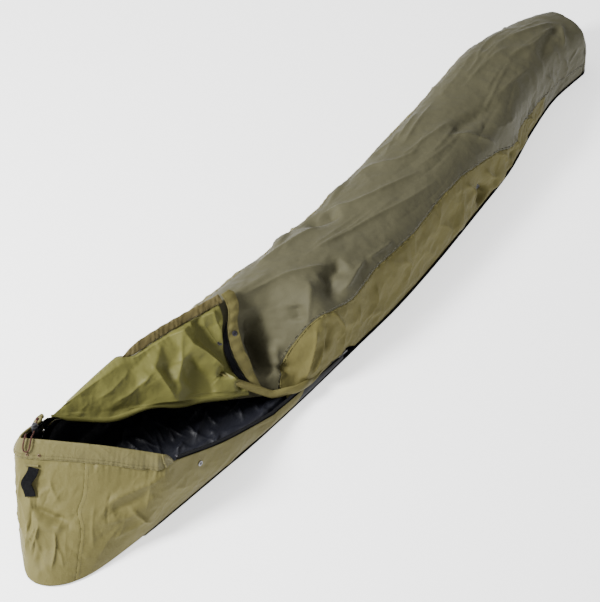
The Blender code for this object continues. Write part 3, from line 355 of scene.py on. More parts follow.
def cloth_material(name, base, roughness, mottle=0.10, pitch=0.0008, crinkle=0.25, grain=0.25, **constants):
    """Woven cloth: mottled colour, a plain weave, and fine crinkles that also change the gloss."""
    s = Shader(name, base, roughness, **constants)
    broad = s.noise(5.0, 4.0, 0.6)
    mottled = s.ramp(broad, 0.30, tint(base, 1 - mottle), 0.70, tint(base, 1 + mottle))
    speck = s.ramp(s.noise(900.0, 2.0, 0.5), 0.25, (1 - grain * 0.5,) * 3, 0.75, (1 + grain * 0.2,) * 3)
    s.colour(s.multiply(mottled, speck))
    woven = s.maths("MULTIPLY", s.maths("MULTIPLY", s.ribs(0, pitch), s.ribs(1, pitch)), 0.5)
    normal = s.bump(woven, 0.25, 0.0003)
    normal = s.bump(s.noise(38.0, 5.0, 0.62), crinkle, 0.004, normal)
    ridged = s.noise(17.0, 3.0, 0.5, noise_type="RIDGED_MULTIFRACTAL", Distortion=0.7, Offset=0.9, Gain=1.6)
    normal = s.bump(ridged, crinkle * 1.2, 0.0016, normal)
    s.bump(s.noise(160.0, 3.0, 0.6), crinkle * 0.5, 0.0012, normal)
    s.uneven_gloss(broad, 0.25, roughness)
    return s.material


def webbing_material():
    """Ribbed webbing."""
    s = Shader("black_webbing", (0.005, 0.005, 0.006), 0.80, Specular_IOR_Level=0.08)
    lively = s.maths("ADD", s.maths("MULTIPLY", s.ribs(0, 0.0011), 0.4), 1.0)
    s.bump(s.maths("MULTIPLY", s.ribs(1, 0.0016), lively), 0.8, 0.0005)
    s.colour(s.ramp(s.noise(300.0), 0.3, (0.0025, 0.0025, 0.003), 0.7, (0.007, 0.007, 0.008)))
    return s.material


def cord_material(name, dark, light):
    """Braided cord: small strands, with painted shade darkening the colour between them."""
    s = Shader(name, light, 0.8, Specular_IOR_Level=0.15)
    braid = s.node("ShaderNodeTexVoronoi", Scale=900)
    s.link(s.place(), braid.inputs["Vector"])
    # colour darkens towards the edges of each strand: painted shade in the gaps between strands
    s.colour(s.ramp(braid.outputs["Distance"], 0.1, light, 0.6, dark))
    s.bump(braid.outputs["Distance"], 0.6, 0.0004)
    return s.material


def hard_material(name, base, roughness, metallic=0.0, **constants):
    """Moulded plastic, plated metal or thread: fine grain, with uneven colour and gloss."""
    s = Shader(name, base, roughness, Metallic=metallic, **constants)
    broad = s.noise(60.0, 4.0, 0.6)
    s.colour(s.ramp(broad, 0.3, tint(base, 0.7), 0.7, tint(base, 1.3)))
    s.uneven_gloss(broad, 0.3, roughness)
    s.bump(s.noise(1400.0, 3.0, 0.6), 0.15, 0.0002)
    return s.material


KHAKI = (0.112, 0.0980, 0.0335)
khaki = cloth_material("khaki_nylon", KHAKI, 0.62, 0.07, crinkle=0.34, Specular_IOR_Level=0.15)
# khaki darkened to 0.93 for the near side strip: painted shade standing in for the dimmer light on that side
khaki_painted_shade = cloth_material("khaki_painted_shade", tint(KHAKI, 0.93), 0.66, 0.08, crinkle=0.30,
                            Specular_IOR_Level=0.10)
khaki_hem = cloth_material("khaki_hem", tint(KHAKI, 0.92), 0.66, 0.12, crinkle=0.5, Specular_IOR_Level=0.25)
khaki_dark = cloth_material("khaki_brown_hem", (0.088, 0.070, 0.024), 0.62, 0.20, crinkle=0.6,
                            Specular_IOR_Level=0.25)
grey = cloth_material("grey_laminate", (0.066, 0.0615, 0.0325), 0.70, 0.05, pitch=0.0006, crinkle=0.14,
                      grain=0.15,
                      Sheen_Weight=0.05, Specular_IOR_Level=0.22)
coated = cloth_material("coated_inner", (0.107, 0.103, 0.029), 0.46, 0.06, pitch=0.0006, crinkle=0.16,
                        grain=0.08,
                        Specular_IOR_Level=0.14)
black = cloth_material("black_nylon", (0.0085, 0.0090, 0.0125), 0.42, 0.25, pitch=0.0006, crinkle=0.20,
                       grain=0.10,
                       Specular_IOR_Level=0.24)
black_edge = cloth_material("black_ground", (0.007, 0.007, 0.009), 0.65, 0.2, pitch=0.0010, crinkle=0.3,
                            Specular_IOR_Level=0.25)
zip_cloth = cloth_material("zip_tape", (0.0045, 0.0045, 0.0055), 0.80, 0.2, pitch=0.0006, crinkle=0.1,
                           Specular_IOR_Level=0.08)
webbing = webbing_material()
cord_brown = cord_material("brown_cord", (0.030, 0.012, 0.009), (0.082, 0.032, 0.023))
thread = hard_material("khaki_thread", (0.070, 0.058, 0.018), 0.75)
thread_grey = hard_material("grey_thread", (0.036, 0.033, 0.016), 0.8)
plastic = hard_material("black_plastic", (0.010, 0.010, 0.012), 0.48)
zip_plastic = hard_material("zip_elements", (0.006, 0.006, 0.007), 0.75, Specular_IOR_Level=0.12)
metal = hard_material("dark_metal", (0.200, 0.200, 0.210), 0.32, 1.0)
snap_black = hard_material("black_snap", (0.020, 0.018, 0.024), 0.35, 0.3)
eyelet = hard_material("brown_eyelet", (0.085, 0.045, 0.022), 0.5)


# ---------------------------------------------------------------- folds

def folds_on(place, *rows):
    """Folds from rows of kind, height, width and the places that the fold runs through."""
    return [(place(*line), height, width, kind) for kind, height, width, *line in rows]


def fold_field(points, folds):
    """Height at points from a list of folds.  Each fold is (line, height, width, kind)."""
    flat = points.reshape(-1, 3)
    height = np.zeros(len(flat))
    for line, amount, width, kind in folds:
        line = np.asarray(line, float)
        width = width * (1.35 if kind == "sharp" else 1.0)
        reach = width * 4.5
        near = np.all((flat > line.min(0) - reach) & (flat < line.max(0) + reach), axis=1)
        if not near.any():
            continue
        some = flat[near]
        if len(line) == 1:
            distance, ends = np.linalg.norm(some - line[0], axis=1), 1.0
        else:
            lengths = walked(line)
            distance, along = np.full(len(some), 9.0), np.zeros(len(some))
            for k, step in enumerate(np.diff(line, axis=0)):
                u = np.clip(((some - line[k]) @ step) / (step @ step), 0, 1)
                d = np.linalg.norm(some - (line[k] + u[:, None] * step), axis=1)
                closer = d < distance
                distance = np.where(closer, d, distance)
                along = np.where(closer, (lengths[k] + u * (lengths[k + 1] - lengths[k])) / lengths[-1],
                                 along)
            ends = smooth(np.minimum(along, 1 - along) / 0.28)
        share = distance / width
        if kind == "soft":
            shape = bell(share)
        elif kind == "sharp":
            shape = 0.52 * np.exp(-share / 0.24) + 0.66 * np.exp(-share / 0.95) - 0.22 * bell(share / 2.4)
        else:
            shape = np.exp(-share * 1.1)
        height[near] += amount * ends * shape
    return height.reshape(points.shape[:-1])


def noise_field(points, scale, seed, octaves=3):
    """Smooth noise between about -1 and 1 at points, scale in cycles per metre."""
    shift = Vector((seed * 3.7, seed * 1.3, seed * 5.1))
    out = [noise.fractal(Vector(p * scale) + shift, 1.0, 2.0, octaves) for p in points.reshape(-1, 3)]
    return np.array(out).reshape(points.shape[:-1])


def crumple_field(points, scale, seed):
    """Sharp crossing creases, as in thin stiff cloth: folded noise, about -1 to 1."""
    warp = noise_field(points, scale * 0.6, seed + 40, 2)[..., None] * (0.25 / scale)
    one = noise_field(points + warp, scale, seed, 2)
    two = noise_field(points[..., [1, 2, 0]] - warp, scale * 1.9, seed + 9, 2)
    return 1.0 - 3.2 * np.abs(one) + 0.5 * (0.6 - 2.4 * np.abs(two))


def grid_normals(points):
    return unit(np.cross(np.gradient(points, axis=0), np.gradient(points, axis=1)))


def seam_drop(distance):
    return 0.0008 * bell(distance / 0.0022)


def pucker(lengths, distance, seed, height=0.0010, wave=0.014):
    """Little gathers beside a seam, along its length."""
    out = np.zeros(np.broadcast(lengths, distance).shape)
    draw = np.random.default_rng(seed)
    for k in range(4):
        w = wave * (0.7 + 0.5 * k)
        out = out + np.sin(lengths * 2 * math.pi / w + draw.uniform(0, 6.3) + 1.7 * np.sin(lengths * 9 + k))
    return height / 2.2 * out * np.exp(-distance / 0.013)


# ---------------------------------------------------------------- meshes

def show(item):
    bpy.context.scene.collection.objects.link(item)
    return item


def link(item, body, slot_name, replaced=()):
    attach(show(item), body)
    if replaced:
        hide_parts(*replaced)


def blend_over_fold(item):
    """For a piece that crosses from the sack to the flap."""
    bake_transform(show(item))


def mesh_from(name, points, faces, materials, indices=None, flat=None):
    mesh = bpy.data.meshes.new(name)
    mesh.from_pydata([tuple(p) for p in (np.asarray(points) - ORIGIN)], [], [tuple(f) for f in faces])
    for m in materials:
        mesh.materials.append(m)
    if indices is not None:
        mesh.polygons.foreach_set("material_index", indices)
    mesh.polygons.foreach_set("use_smooth", [True] * len(mesh.polygons))
    if flat is not None:
        attribute = mesh.attributes.new("weave", "FLOAT_VECTOR", "POINT")
        attribute.data.foreach_set("vector", np.asarray(flat, np.float32).ravel())
    mesh.update()
    return bpy.data.objects.new(name, mesh)


def fix_normals(item):
    work = bmesh.new()
    work.from_mesh(item.data)
    bmesh.ops.recalc_face_normals(work, faces=work.faces)
    if work.calc_volume(signed=True) < 0:
        bmesh.ops.reverse_faces(work, faces=work.faces)
    work.to_mesh(item.data)
    work.free()
    return item


def cloth_sheet(name, outer, thickness, materials, normals, flip=False):
    """Closed thin sheet from a grid of outer points; the inner face has the second material."""
    rows, cols = outer.shape[:2]
    count, way = rows * cols, -1 if flip else 1
    inner = outer - normals * way * thickness
    index = np.arange(count).reshape(rows, cols)
    a, b, c, d = (part.ravel() for part in (index[:-1, :-1], index[1:, :-1], index[1:, 1:], index[:-1, 1:]))
    edge = np.concatenate([index[0, :], index[1:, -1], index[-1, -2::-1], index[-2:0:-1, 0]])
    ahead = np.roll(edge, -1)
    kinds = [np.stack(quads, -1) for quads in
             ((a, b, c, d), (a + count, d + count, c + count, b + count),
              (edge, ahead, ahead + count, edge + count))]
    u, v = (np.concatenate([[0], np.cumsum(np.linalg.norm(np.diff(outer, axis=k), axis=2).mean(1 - k))])
            for k in (0, 1))
    u, v = np.meshgrid(u, v, indexing="ij")
    flat = np.stack([u, v, np.zeros_like(u)], -1).reshape(-1, 3)
    points = np.concatenate([outer.reshape(-1, 3), inner.reshape(-1, 3)])
    return mesh_from(name, points, np.concatenate(kinds)[:, ::way], materials,
                     np.repeat((0, 1, 0), [len(k) for k in kinds]),
                     np.concatenate([flat, flat]))


def outward_sheet(name, points, outward, materials, thickness=CLOTH_THICK):
    """Sheet with its first material on the outward side; returns it with its outward normals."""
    normals = grid_normals(points)
    flip = (normals * outward).sum() < 0
    return cloth_sheet(name, points, thickness, materials, normals, flip), (-normals if flip else normals)


def band(name, middles, ups, outs, rings, material):
    """Solid swept through stations; rings holds each station's outline as (up, out) pairs."""
    stations, n = rings.shape[:2]
    points = middles[:, None] + ups[:, None] * rings[..., :1] + outs[:, None] * rings[..., 1:2]
    index = np.arange(stations * n).reshape(stations, n)
    ahead = np.roll(index, -1, axis=1)
    faces = np.stack([index[:-1], index[1:], ahead[1:], ahead[:-1]], -1).reshape(-1, 4).tolist()
    faces += [index[0].tolist(), index[-1][::-1].tolist()]
    v = np.cumsum(np.linalg.norm(np.diff(rings[0], axis=0, prepend=rings[0][:1]), axis=1))
    u, v = np.meshgrid(walked(middles), v, indexing="ij")
    flat = np.stack([u, v, np.zeros_like(u)], -1).reshape(-1, 3)
    return fix_normals(mesh_from(name, points.reshape(-1, 3), faces, [material], None, flat))


def box_outline(turns, out_power, up_power):
    """Up and out parts of an outline between an ellipse and a box."""
    c, s = np.cos(turns), np.sin(turns)
    return np.copysign(np.abs(s) ** up_power, s), np.copysign(np.abs(c) ** out_power, c)


def nearest_level(turns, up_power, level):
    """Place on the outer side of such an outline that lies nearest a level."""
    up, out = box_outline(turns, 1.0, up_power)
    return int(np.argmin(np.where(out > 0, np.abs(up - level), 9)))


def spread(line, spacing, *fields):
    """Even points on a line, the directions along it, and unit vectors of the fields there."""
    lengths = walked(line)
    at = np.linspace(0, lengths[-1], max(2, int(lengths[-1] / spacing) + 1))
    points = interp_points(at, lengths, line)
    return [points, unit(np.gradient(points, axis=0))] + [unit(interp_points(at, lengths, f)) for f in fields]


def stitches(name, line, normals, body, material=thread, slot_name="khaki_nylon", pitch=0.0045, lift=0.0002):
    """A row of sewn stitches lying on a surface line: two tips and three rings of five points each."""
    long, radius, sides = 0.0030, 0.00045, 5
    points, along, n = spread(line, pitch, normals)
    verts, faces = [], []
    for p, a, s, u in zip(points, along, unit(np.cross(n, along)), n):
        start = len(verts)
        verts.append(p + a * long * -0.5 + u * (lift - radius))
        for reach, thick in ((-0.42, 0.8), (0.0, 1.0), (0.42, 0.8)):
            middle = p + a * long * reach + u * (lift + radius * 0.3 * thick)
            for k in range(sides):
                turn = 2 * math.pi * k / sides
                verts.append(middle + (s * math.cos(turn) + u * math.sin(turn)) * radius * thick)
        verts.append(p + a * long * 0.5 + u * (lift - radius))
        first, *rings, last = start, start + 1, start + 6, start + 11, start + 16
        for k in range(sides):
            m = (k + 1) % sides
            faces.append((first, rings[0] + m, rings[0] + k))
            faces += [(one + k, one + m, two + m, two + k) for one, two in zip(rings, rings[1:])]
            faces.append((last, rings[2] + k, rings[2] + m))
    link(mesh_from(name, verts, faces, [material]), body, slot_name)


def teeth(name, line, ups, outs, body, replaced):
    """Interlocking zip elements along a line: little rounded blocks."""
    a, b, c = 0.0008, 0.0021, 0.0016
    corners = [(x, y, z) for x in (-a, a) for y in (-b, b * 0.72) for z in (-c, c)]
    quads = ((0, 1, 3, 2), (4, 6, 7, 5), (0, 4, 5, 1), (2, 3, 7, 6), (0, 2, 6, 4), (1, 5, 7, 3))
    verts, faces = [], []
    for p, e, u, o in zip(*spread(line, 0.0026, ups, outs)):
        faces += [tuple(len(verts) + k for k in q) for q in quads]
        verts += [p + e * x + u * y + o * z for x, y, z in corners]
    item = fix_normals(mesh_from(name, verts, faces, [zip_plastic]))
    edge = item.modifiers.new("round", "BEVEL")
    edge.width, edge.segments = 0.0004, 2
    link(item, body, "zip_black", [replaced])


# ---------------------------------------------------------------- camera and drawcord tail

def camera():
    """The photograph's view."""
    azimuth, elevation, distance = math.radians(-50), math.radians(50), 5.75
    sensor, image_wide, focal_pixels = 36.0, 600, 2190
    back = Vector((math.sin(azimuth) * math.cos(elevation), -math.cos(azimuth) * math.cos(elevation),
                   math.sin(elevation)))
    data = bpy.data.cameras.new("camera")
    data.sensor_fit = "HORIZONTAL"
    data.sensor_width = sensor
    data.lens = focal_pixels * sensor / image_wide
    data.clip_end = 60
    item = show(bpy.data.objects.new("camera", data))
    item.location = Vector((-0.1254, 0.0, 0.1045)) - Vector(ORIGIN) + back * distance
    item.rotation_euler = back.to_track_quat("Z", "Y").to_euler()
    bpy.context.scene.camera = item


camera()

TAIL_ROW, TAIL_STRAIGHT, CORD_R = 9.30, 0.040, 0.0020


def tail_route():
    """Out of the casing's eyelet, round in a loop, and straight on through the cord lock to the knot."""
    middle, up, out, high = (v[0] for v in casing_frame(np.array([TAIL_ROW])))
    top, along = middle + up * high / 2, np.cross(up, out)
    bends = (
        (-0.0068, -0.0150, -0.008), (-0.0105, -0.0145, -0.008), (-0.0140, -0.0090, -0.008),
        (-0.0125, 0.0000, -0.008),
        (-0.0060, 0.0065, -0.008), (0.0020, 0.0078, -0.008), (0.0090, 0.0030, -0.008),
        (0.0112, -0.0070, -0.008),
        (0.0112, -0.0200, -0.008), (0.0112, -0.0290, -0.0055), (0.0112, -0.0325, 0.000),
        (0.0112, -0.0290, 0.0055),
        (0.0112, -0.0200, 0.008), (0.0112, -0.0070, 0.008), (0.0090, 0.0030, 0.008), (0.0020, 0.0078, 0.008),
        (-0.0070, 0.0085, 0.008))
    route = [top + out * a + up * b + along * c for a, b, c in bends]
    start = top + out * -0.0160 + up * 0.0085 + along * 0.008
    level = unit(np.array([-out[0], -out[1], 0]))
    return np.array(route + [start + level * TAIL_STRAIGHT * k / 4 for k in range(5)])


def cord_tail():
    route = tail_route()
    keys = walked(route)
    dense = cubic(keys, route, np.linspace(0, keys[-1], 400))
    lengths = walked(dense)
    points = interp_points(np.linspace(0, lengths[-1], 40), lengths, dense) - ORIGIN
    curve = bpy.data.curves.new("cord_tail", "CURVE")
    curve.dimensions = "3D"
    curve.bevel_depth = CORD_R
    curve.bevel_resolution = 5
    curve.use_fill_caps = True
    curve.materials.append(cord_brown)
    spline_ = curve.splines.new("POLY")
    spline_.points.add(len(points) - 1)
    for target, point in zip(spline_.points, points):
        target.co = (*point, 1)
    spline_.use_smooth = True
    tail = bpy.data.objects.new("cord_tail", curve)
    link(tail, "sack", "brown_cord", ["drawcord_tail"])


cord_tail()

# ---------------------------------------------------------------- panels of the tube

# rows: kind, height, width, then (x, share of the way round) along the fold
TUBE_FOLDS = folds_on(
    on_shell,
    ("sharp", 0.0095, 0.016, (-0.30, 0.575), (-0.255, 0.562), (-0.19, 0.525), (-0.095, 0.45), (-0.05, 0.42)),
    ("sharp", 0.0070, 0.016, (-0.125, 0.535), (-0.02, 0.506), (0.12, 0.456), (0.255, 0.394), (0.40, 0.350)),
    ("sharp", 0.0090, 0.015, (-0.20, 0.655), (-0.145, 0.640), (-0.03, 0.612), (0.04, 0.585)),
    ("sharp", 0.0075, 0.015, (0.00, 0.66), (0.075, 0.640), (0.135, 0.569), (0.215, 0.513), (0.36, 0.430)),
    ("sharp", 0.0055, 0.014, (0.20, 0.68), (0.275, 0.640), (0.335, 0.55), (0.42, 0.50)),
    ("soft", -0.0250, 0.032, (-0.118, 0.352)),
    ("soft", -0.0190, 0.022, (-0.125, 0.400), (-0.085, 0.402), (-0.035, 0.392)),
    ("sharp", 0.0090, 0.012, (0.02, 0.352), (-0.01, 0.35), (-0.06, 0.333), (-0.11, 0.315)),
    ("soft", -0.0170, 0.024, (0.030, 0.690), (0.040, 0.631), (0.10, 0.580)),
    ("soft", 0.0090, 0.040, (-0.08, 0.72), (-0.06, 0.66)),
    ("soft", 0.0080, 0.045, (0.16, 0.74), (0.17, 0.66)),
    ("sharp", 0.0085, 0.012, (-0.165, 0.460), (-0.160, 0.42), (-0.195, 0.375), (-0.24, 0.33)),
    ("soft", -0.0090, 0.016, (-0.215, 0.420), (-0.235, 0.38)),
    ("sharp", 0.0060, 0.011, (0.125, 0.330), (0.085, 0.338), (0.01, 0.352)),
    ("sharp", 0.0060, 0.016, (0.345, 0.55), (0.44, 0.519), (0.56, 0.480)),
    ("sharp", 0.0050, 0.013, (0.385, 0.462), (0.46, 0.45), (0.56, 0.46)),
    ("sharp", 0.0050, 0.014, (0.385, 0.581), (0.495, 0.606), (0.60, 0.62)),
    ("sharp", 0.0075, 0.015, (0.50, 0.445), (0.545, 0.375), (0.605, 0.26)),
    ("soft", -0.0100, 0.020, (0.48, 0.445), (0.525, 0.438), (0.62, 0.413), (0.72, 0.365)),
    ("sharp", 0.0060, 0.016, (0.60, 0.34), (0.66, 0.30), (0.73, 0.27)),
    ("sharp", 0.0075, 0.017, (1.10, 0.46), (0.965, 0.413), (0.855, 0.47)),
    ("sharp", 0.0065, 0.016, (1.10, 0.47), (1.02, 0.50), (0.90, 0.56)),
    ("sharp", 0.0070, 0.012, (1.10, 0.44), (1.07, 0.37), (1.04, 0.288)),
    ("soft", -0.0060, 0.016, (1.10, 0.43), (1.03, 0.40), (0.97, 0.36), (0.92, 0.32)),
    ("sharp", 0.0045, 0.018, (0.70, 0.55), (0.80, 0.53), (0.90, 0.50)),
    ("sharp", 0.0060, 0.016, (0.72, 0.40), (0.80, 0.37), (0.88, 0.34)),
    # near side strip
    ("soft", 0.0130, 0.034, (0.36, 0.10), (0.43, 0.08)),
    ("soft", 0.0150, 0.030, (0.575, 0.09), (0.650, 0.07)),
    ("soft", 0.0080, 0.026, (0.74, 0.07), (0.80, 0.06)),
    ("soft", -0.0200, 0.018, (0.515, 0.11), (0.530, 0.03)),
    ("sharp", 0.0105, 0.009, (-0.165, 0.300), (-0.150, 0.245), (-0.140, 0.185), (-0.165, 0.12)),
    ("sharp", 0.0110, 0.009, (-0.215, 0.31), (-0.235, 0.27), (-0.262, 0.245), (-0.29, 0.215)),
    ("soft", -0.0120, 0.012, (-0.190, 0.290), (-0.185, 0.22), (-0.215, 0.15)),
    ("sharp", 0.0100, 0.008, (-0.205, 0.215), (-0.235, 0.18), (-0.275, 0.165)),
    ("sharp", 0.0080, 0.012, (0.015, 0.245), (0.005, 0.213), (-0.005, 0.15), (-0.05, 0.11)),
    ("sharp", 0.0055, 0.010, (-0.06, 0.23), (-0.075, 0.15), (-0.06, 0.09)),
    ("sharp", 0.0050, 0.013, (0.12, 0.24), (0.15, 0.17), (0.12, 0.10)),
    ("sharp", 0.0050, 0.014, (0.28, 0.22), (0.33, 0.16), (0.36, 0.09)),
    ("sharp", 0.0070, 0.012, (0.43, 0.26), (0.47, 0.19), (0.48, 0.12)),
    ("crease", -0.0220, 0.013, (0.485, 0.175), (0.535, 0.10), (0.565, 0.045)),
    ("sharp", 0.0100, 0.013, (0.53, 0.225), (0.560, 0.15), (0.60, 0.10)),
    ("sharp", 0.0080, 0.011, (0.60, 0.22), (0.64, 0.17), (0.65, 0.10)),
    ("sharp", 0.0075, 0.010, (0.70, 0.20), (0.72, 0.13), (0.75, 0.07)),
    ("soft", -0.0080, 0.012, (0.66, 0.14), (0.71, 0.09)),
    ("sharp", 0.0060, 0.011, (0.78, 0.19), (0.83, 0.12), (0.86, 0.05)),
    ("sharp", 0.0060, 0.012, (0.93, 0.25), (0.97, 0.16), (0.98, 0.07)),
    ("sharp", 0.0055, 0.011, (1.03, 0.26), (1.05, 0.17), (1.05, 0.08)))
# the valley beside the storm flap, in the working axes
TUBE_FOLDS += folds_on(
    in_space,
    ("soft", -0.046, 0.030, (-0.302, 0.034, 0.214), (-0.318, -0.010, 0.172), (-0.330, -0.044, 0.136),
     (-0.346, -0.076, 0.104), (-0.362, -0.098, 0.080)),
    ("soft", -0.030, 0.020, (-0.330, -0.004, 0.178), (-0.343, -0.046, 0.136), (-0.357, -0.076, 0.104),
     (-0.366, -0.098, 0.082)),
    ("soft", 0.022, 0.017, (-0.296, -0.052, 0.146), (-0.318, -0.078, 0.118), (-0.336, -0.100, 0.090),
     (-0.346, -0.120, 0.068)),
    ("soft", -0.012, 0.030, (-0.316, -0.092, 0.100), (-0.330, -0.104, 0.080)))


def random_folds(seed, count, x_range, t_range, lean, height, width, length):
    """Extra long wrinkles with seeded places."""
    draw = np.random.default_rng(seed)
    made = []
    for _ in range(count):
        x, t = draw.uniform(*x_range), draw.uniform(*t_range)
        reach = draw.uniform(*length) / 2
        turn = draw.normal(*lean)
        bend = draw.normal(0, 0.12) * reach
        dx, dt = reach * math.cos(turn), reach * math.sin(turn) / ROUND
        points = ((x - dx, t - dt), (x - bend * 0.2, t + bend), (x + dx, t + dt))
        points = [(min(max(a, -0.88), 1.12), min(max(b, 0.02), 0.98)) for a, b in points]
        made.append((on_shell(*points), draw.uniform(*height) * draw.choice((1, 1, 1, -0.8)),
                     draw.uniform(*width),
                     "sharp"))
    return made


for settings in (
        (11, 34, (-0.1, 1.05), (0.30, 0.70), (0.0, 0.30), (0.0012, 0.0034), (0.007, 0.014), (0.10, 0.34)),
        (12, 34, (-0.15, 1.08), (0.04, 0.27), (1.2, 0.45), (0.0012, 0.0034), (0.006, 0.011), (0.05, 0.13)),
        (13, 70, (-0.84, 1.08), (0.72, 0.96), (1.25, 0.5), (0.0015, 0.0050), (0.006, 0.012), (0.05, 0.15))):
    TUBE_FOLDS += random_folds(*settings)


def tube_points(x, t):
    """Final outer points of the tube for arrays of x and t, with folds and slack, and outward directions."""
    base = under_flap(shell(x, t))
    ahead = under_flap(shell(np.clip(x + 0.004, None, 1.14), t)) - under_flap(shell(x - 0.004, t))
    around = under_flap(shell(x, np.clip(t + 0.006, 0, 1))) - under_flap(shell(x, np.clip(t - 0.006, 0, 1)))
    n = unit(np.cross(ahead, around))
    sideways = (np.abs(n[..., 1:2]) > 0.5) * n[..., 1:2] * np.sign(base[..., 1:2] - 0.02)
    n = np.where(n[..., 2:] + sideways < 0, -n, n)
    h = 1.25 * fold_field(base, TUBE_FOLDS)
    stretched = base * (0.55, 1.0, 1.0)
    h += 0.0045 * noise_field(stretched, 7.0, 9) + 0.0022 * noise_field(stretched, 16.0, 1)
    h += 0.0008 * noise_field(base, 60.0, 2)
    h += np.interp(t - near_seam_share(x), (-0.05, 0.03), (0.0026, 0.0011)) * crumple_field(base, 11.0, 3)
    h *= 0.12 + 0.88 * smooth((base[..., 2] - WALL_FOOT_Z) / 0.03)
    under = smooth(((base - FOLD_FAR) @ FOLD_UP + FLAP_CLEARANCE + 0.03) / 0.03) * \
        (1 - smooth(((base - FOLD_NEAR) @ ZIP_OUT) / 0.05))
    h *= np.where(h > 0, 1 - under, 1 - 0.2 * under)
    by_fold = smooth((np.abs((base - FOLD_FAR) @ FOLD_ACROSS) - 0.002) / 0.024)
    h *= np.where(base[..., 0] < -0.2, 0.35 + 0.65 * by_fold, 1.0)
    return base + n * np.where(h > 0, 0.018 * np.tanh(h / 0.018), h)[..., None], n


def edge_steps(inner, edge):
    """Shares from 0 to 1 with extra ones by both ends."""
    edge = np.array(edge)
    return np.concatenate([[0], edge, np.linspace(0.011, 1 - 0.011, inner), 1 - edge[::-1], [1]])


ACROSS_EDGE, ALONG_EDGE = (0.004, 0.011, 0.022), (0.0008, 0.002, 0.004)


def tube_panel(name, start, end, low_at, high_at, rows, cols, materials, replaced, slot_name,
               start_seam=False):
    """One sewn panel of the tube, from x start to end; low_at and high_at give its edges at x."""
    u, w = np.meshgrid(edge_steps(rows, ALONG_EDGE), edge_steps(cols, ACROSS_EDGE), indexing="ij")
    x = start + (end - start) * u
    low, high = low_at(x), high_at(x)
    t = low + (high - low) * w
    points, n = tube_points(x, t)
    to_seam = np.minimum(t - low, high - t) * ROUND
    h = pucker(x, to_seam, 3) - seam_drop(to_seam) - seam_drop(end - x)
    if start_seam:
        h -= seam_drop(x - start)
    points = points + n * h[..., None]
    points[..., 2] = np.maximum(points[..., 2], LOWEST_Z)
    item, normals = outward_sheet(name, points, n, materials)
    link(item, "sack", slot_name, [replaced])
    return points, normals


def above_near_seam(x):
    return near_seam_share(x) + GAP


def below_near_seam(x):
    return near_seam_share(x) - GAP


def fold_start(w):
    """Where the top panel starts, along the flap's fold line."""
    x = np.full(np.shape(w), (FOLD_NEAR[0] + FOLD_FAR[0]) / 2)
    slope = (FOLD_FAR[0] - FOLD_NEAR[0]) / (FOLD_FAR[1] - FOLD_NEAR[1])
    for _ in range(14):
        low, high = near_seam_share(x) + SEAM_GAP / 0.7, FAR_SEAM - SEAM_GAP / 0.7
        y = shell(x, low + (high - low) * w)[..., 1]
        x = np.maximum(FOLD_NEAR[0] + (y - FOLD_NEAR[1]) * slope, FOLD_FAR[0] - 0.006)
    return x + 0.030 * (1 - smooth(w / 0.16))


def near_low(x):
    """Lower edge of the near strip: over the zip, or on the ground past its end."""
    up = np.maximum(zip_wall_height(x) + 0.012, 0.034) / station(x.ravel())[2].reshape(x.shape)
    over = np.interp(up, OUTLINE[:HALF_OUTLINE, 1], SHARE[:HALF_OUTLINE])
    over = np.minimum(over, near_seam_share(x) - 0.012)
    return over * np.clip(1 - (x - ZIP_CLEAR_X - 0.004) / 0.030, 0, 1)


TOP_COLS = 84
top_grid, top_normals = tube_panel(
    "top_cloth", fold_start(edge_steps(TOP_COLS, ACROSS_EDGE))[None, :], PANEL_END_X, above_near_seam,
    lambda x: FAR_SEAM - GAP, 400, TOP_COLS, [grey, coated], "top_panel", "grey_laminate")
# the near strip wears the khaki darkened as painted shade
near_grid, near_normals = tube_panel(
    "near_strip", *NEAR_PANEL_X, near_low, below_near_seam, 380, 44, [khaki_painted_shade, coated], "side_panel_near",
    "khaki_nylon")
far_grid, far_normals = tube_panel(
    "far_strip", -0.893, PANEL_END_X, lambda x: FAR_SEAM + GAP, lambda x: 1.0, 300, 36, [khaki, black],
    "side_panel_far", "khaki_nylon")
tube_panel("foot_gusset", NEAR_PANEL_X[1] + 0.0012, PANEL_END_X, lambda x: 0.0, below_near_seam, 40, 22,
           [grey, coated], "foot_near_gusset", "grey_laminate", start_seam=True)

for label, grid, normals, column, material_, slot_ in (
        ("near_seam_top", top_grid, top_normals, 3, thread_grey, "grey_laminate"),
        ("near_seam_side", near_grid, near_normals, -4, thread, "khaki_nylon"),
        ("far_seam_side", far_grid, far_normals, 3, thread, "khaki_nylon"),
        ("far_seam_top", top_grid, top_normals, -4, thread_grey, "grey_laminate")):
    stitches("stitch_" + label, grid[4:-4, column], normals[4:-4, column], "sack", material_, slot_)


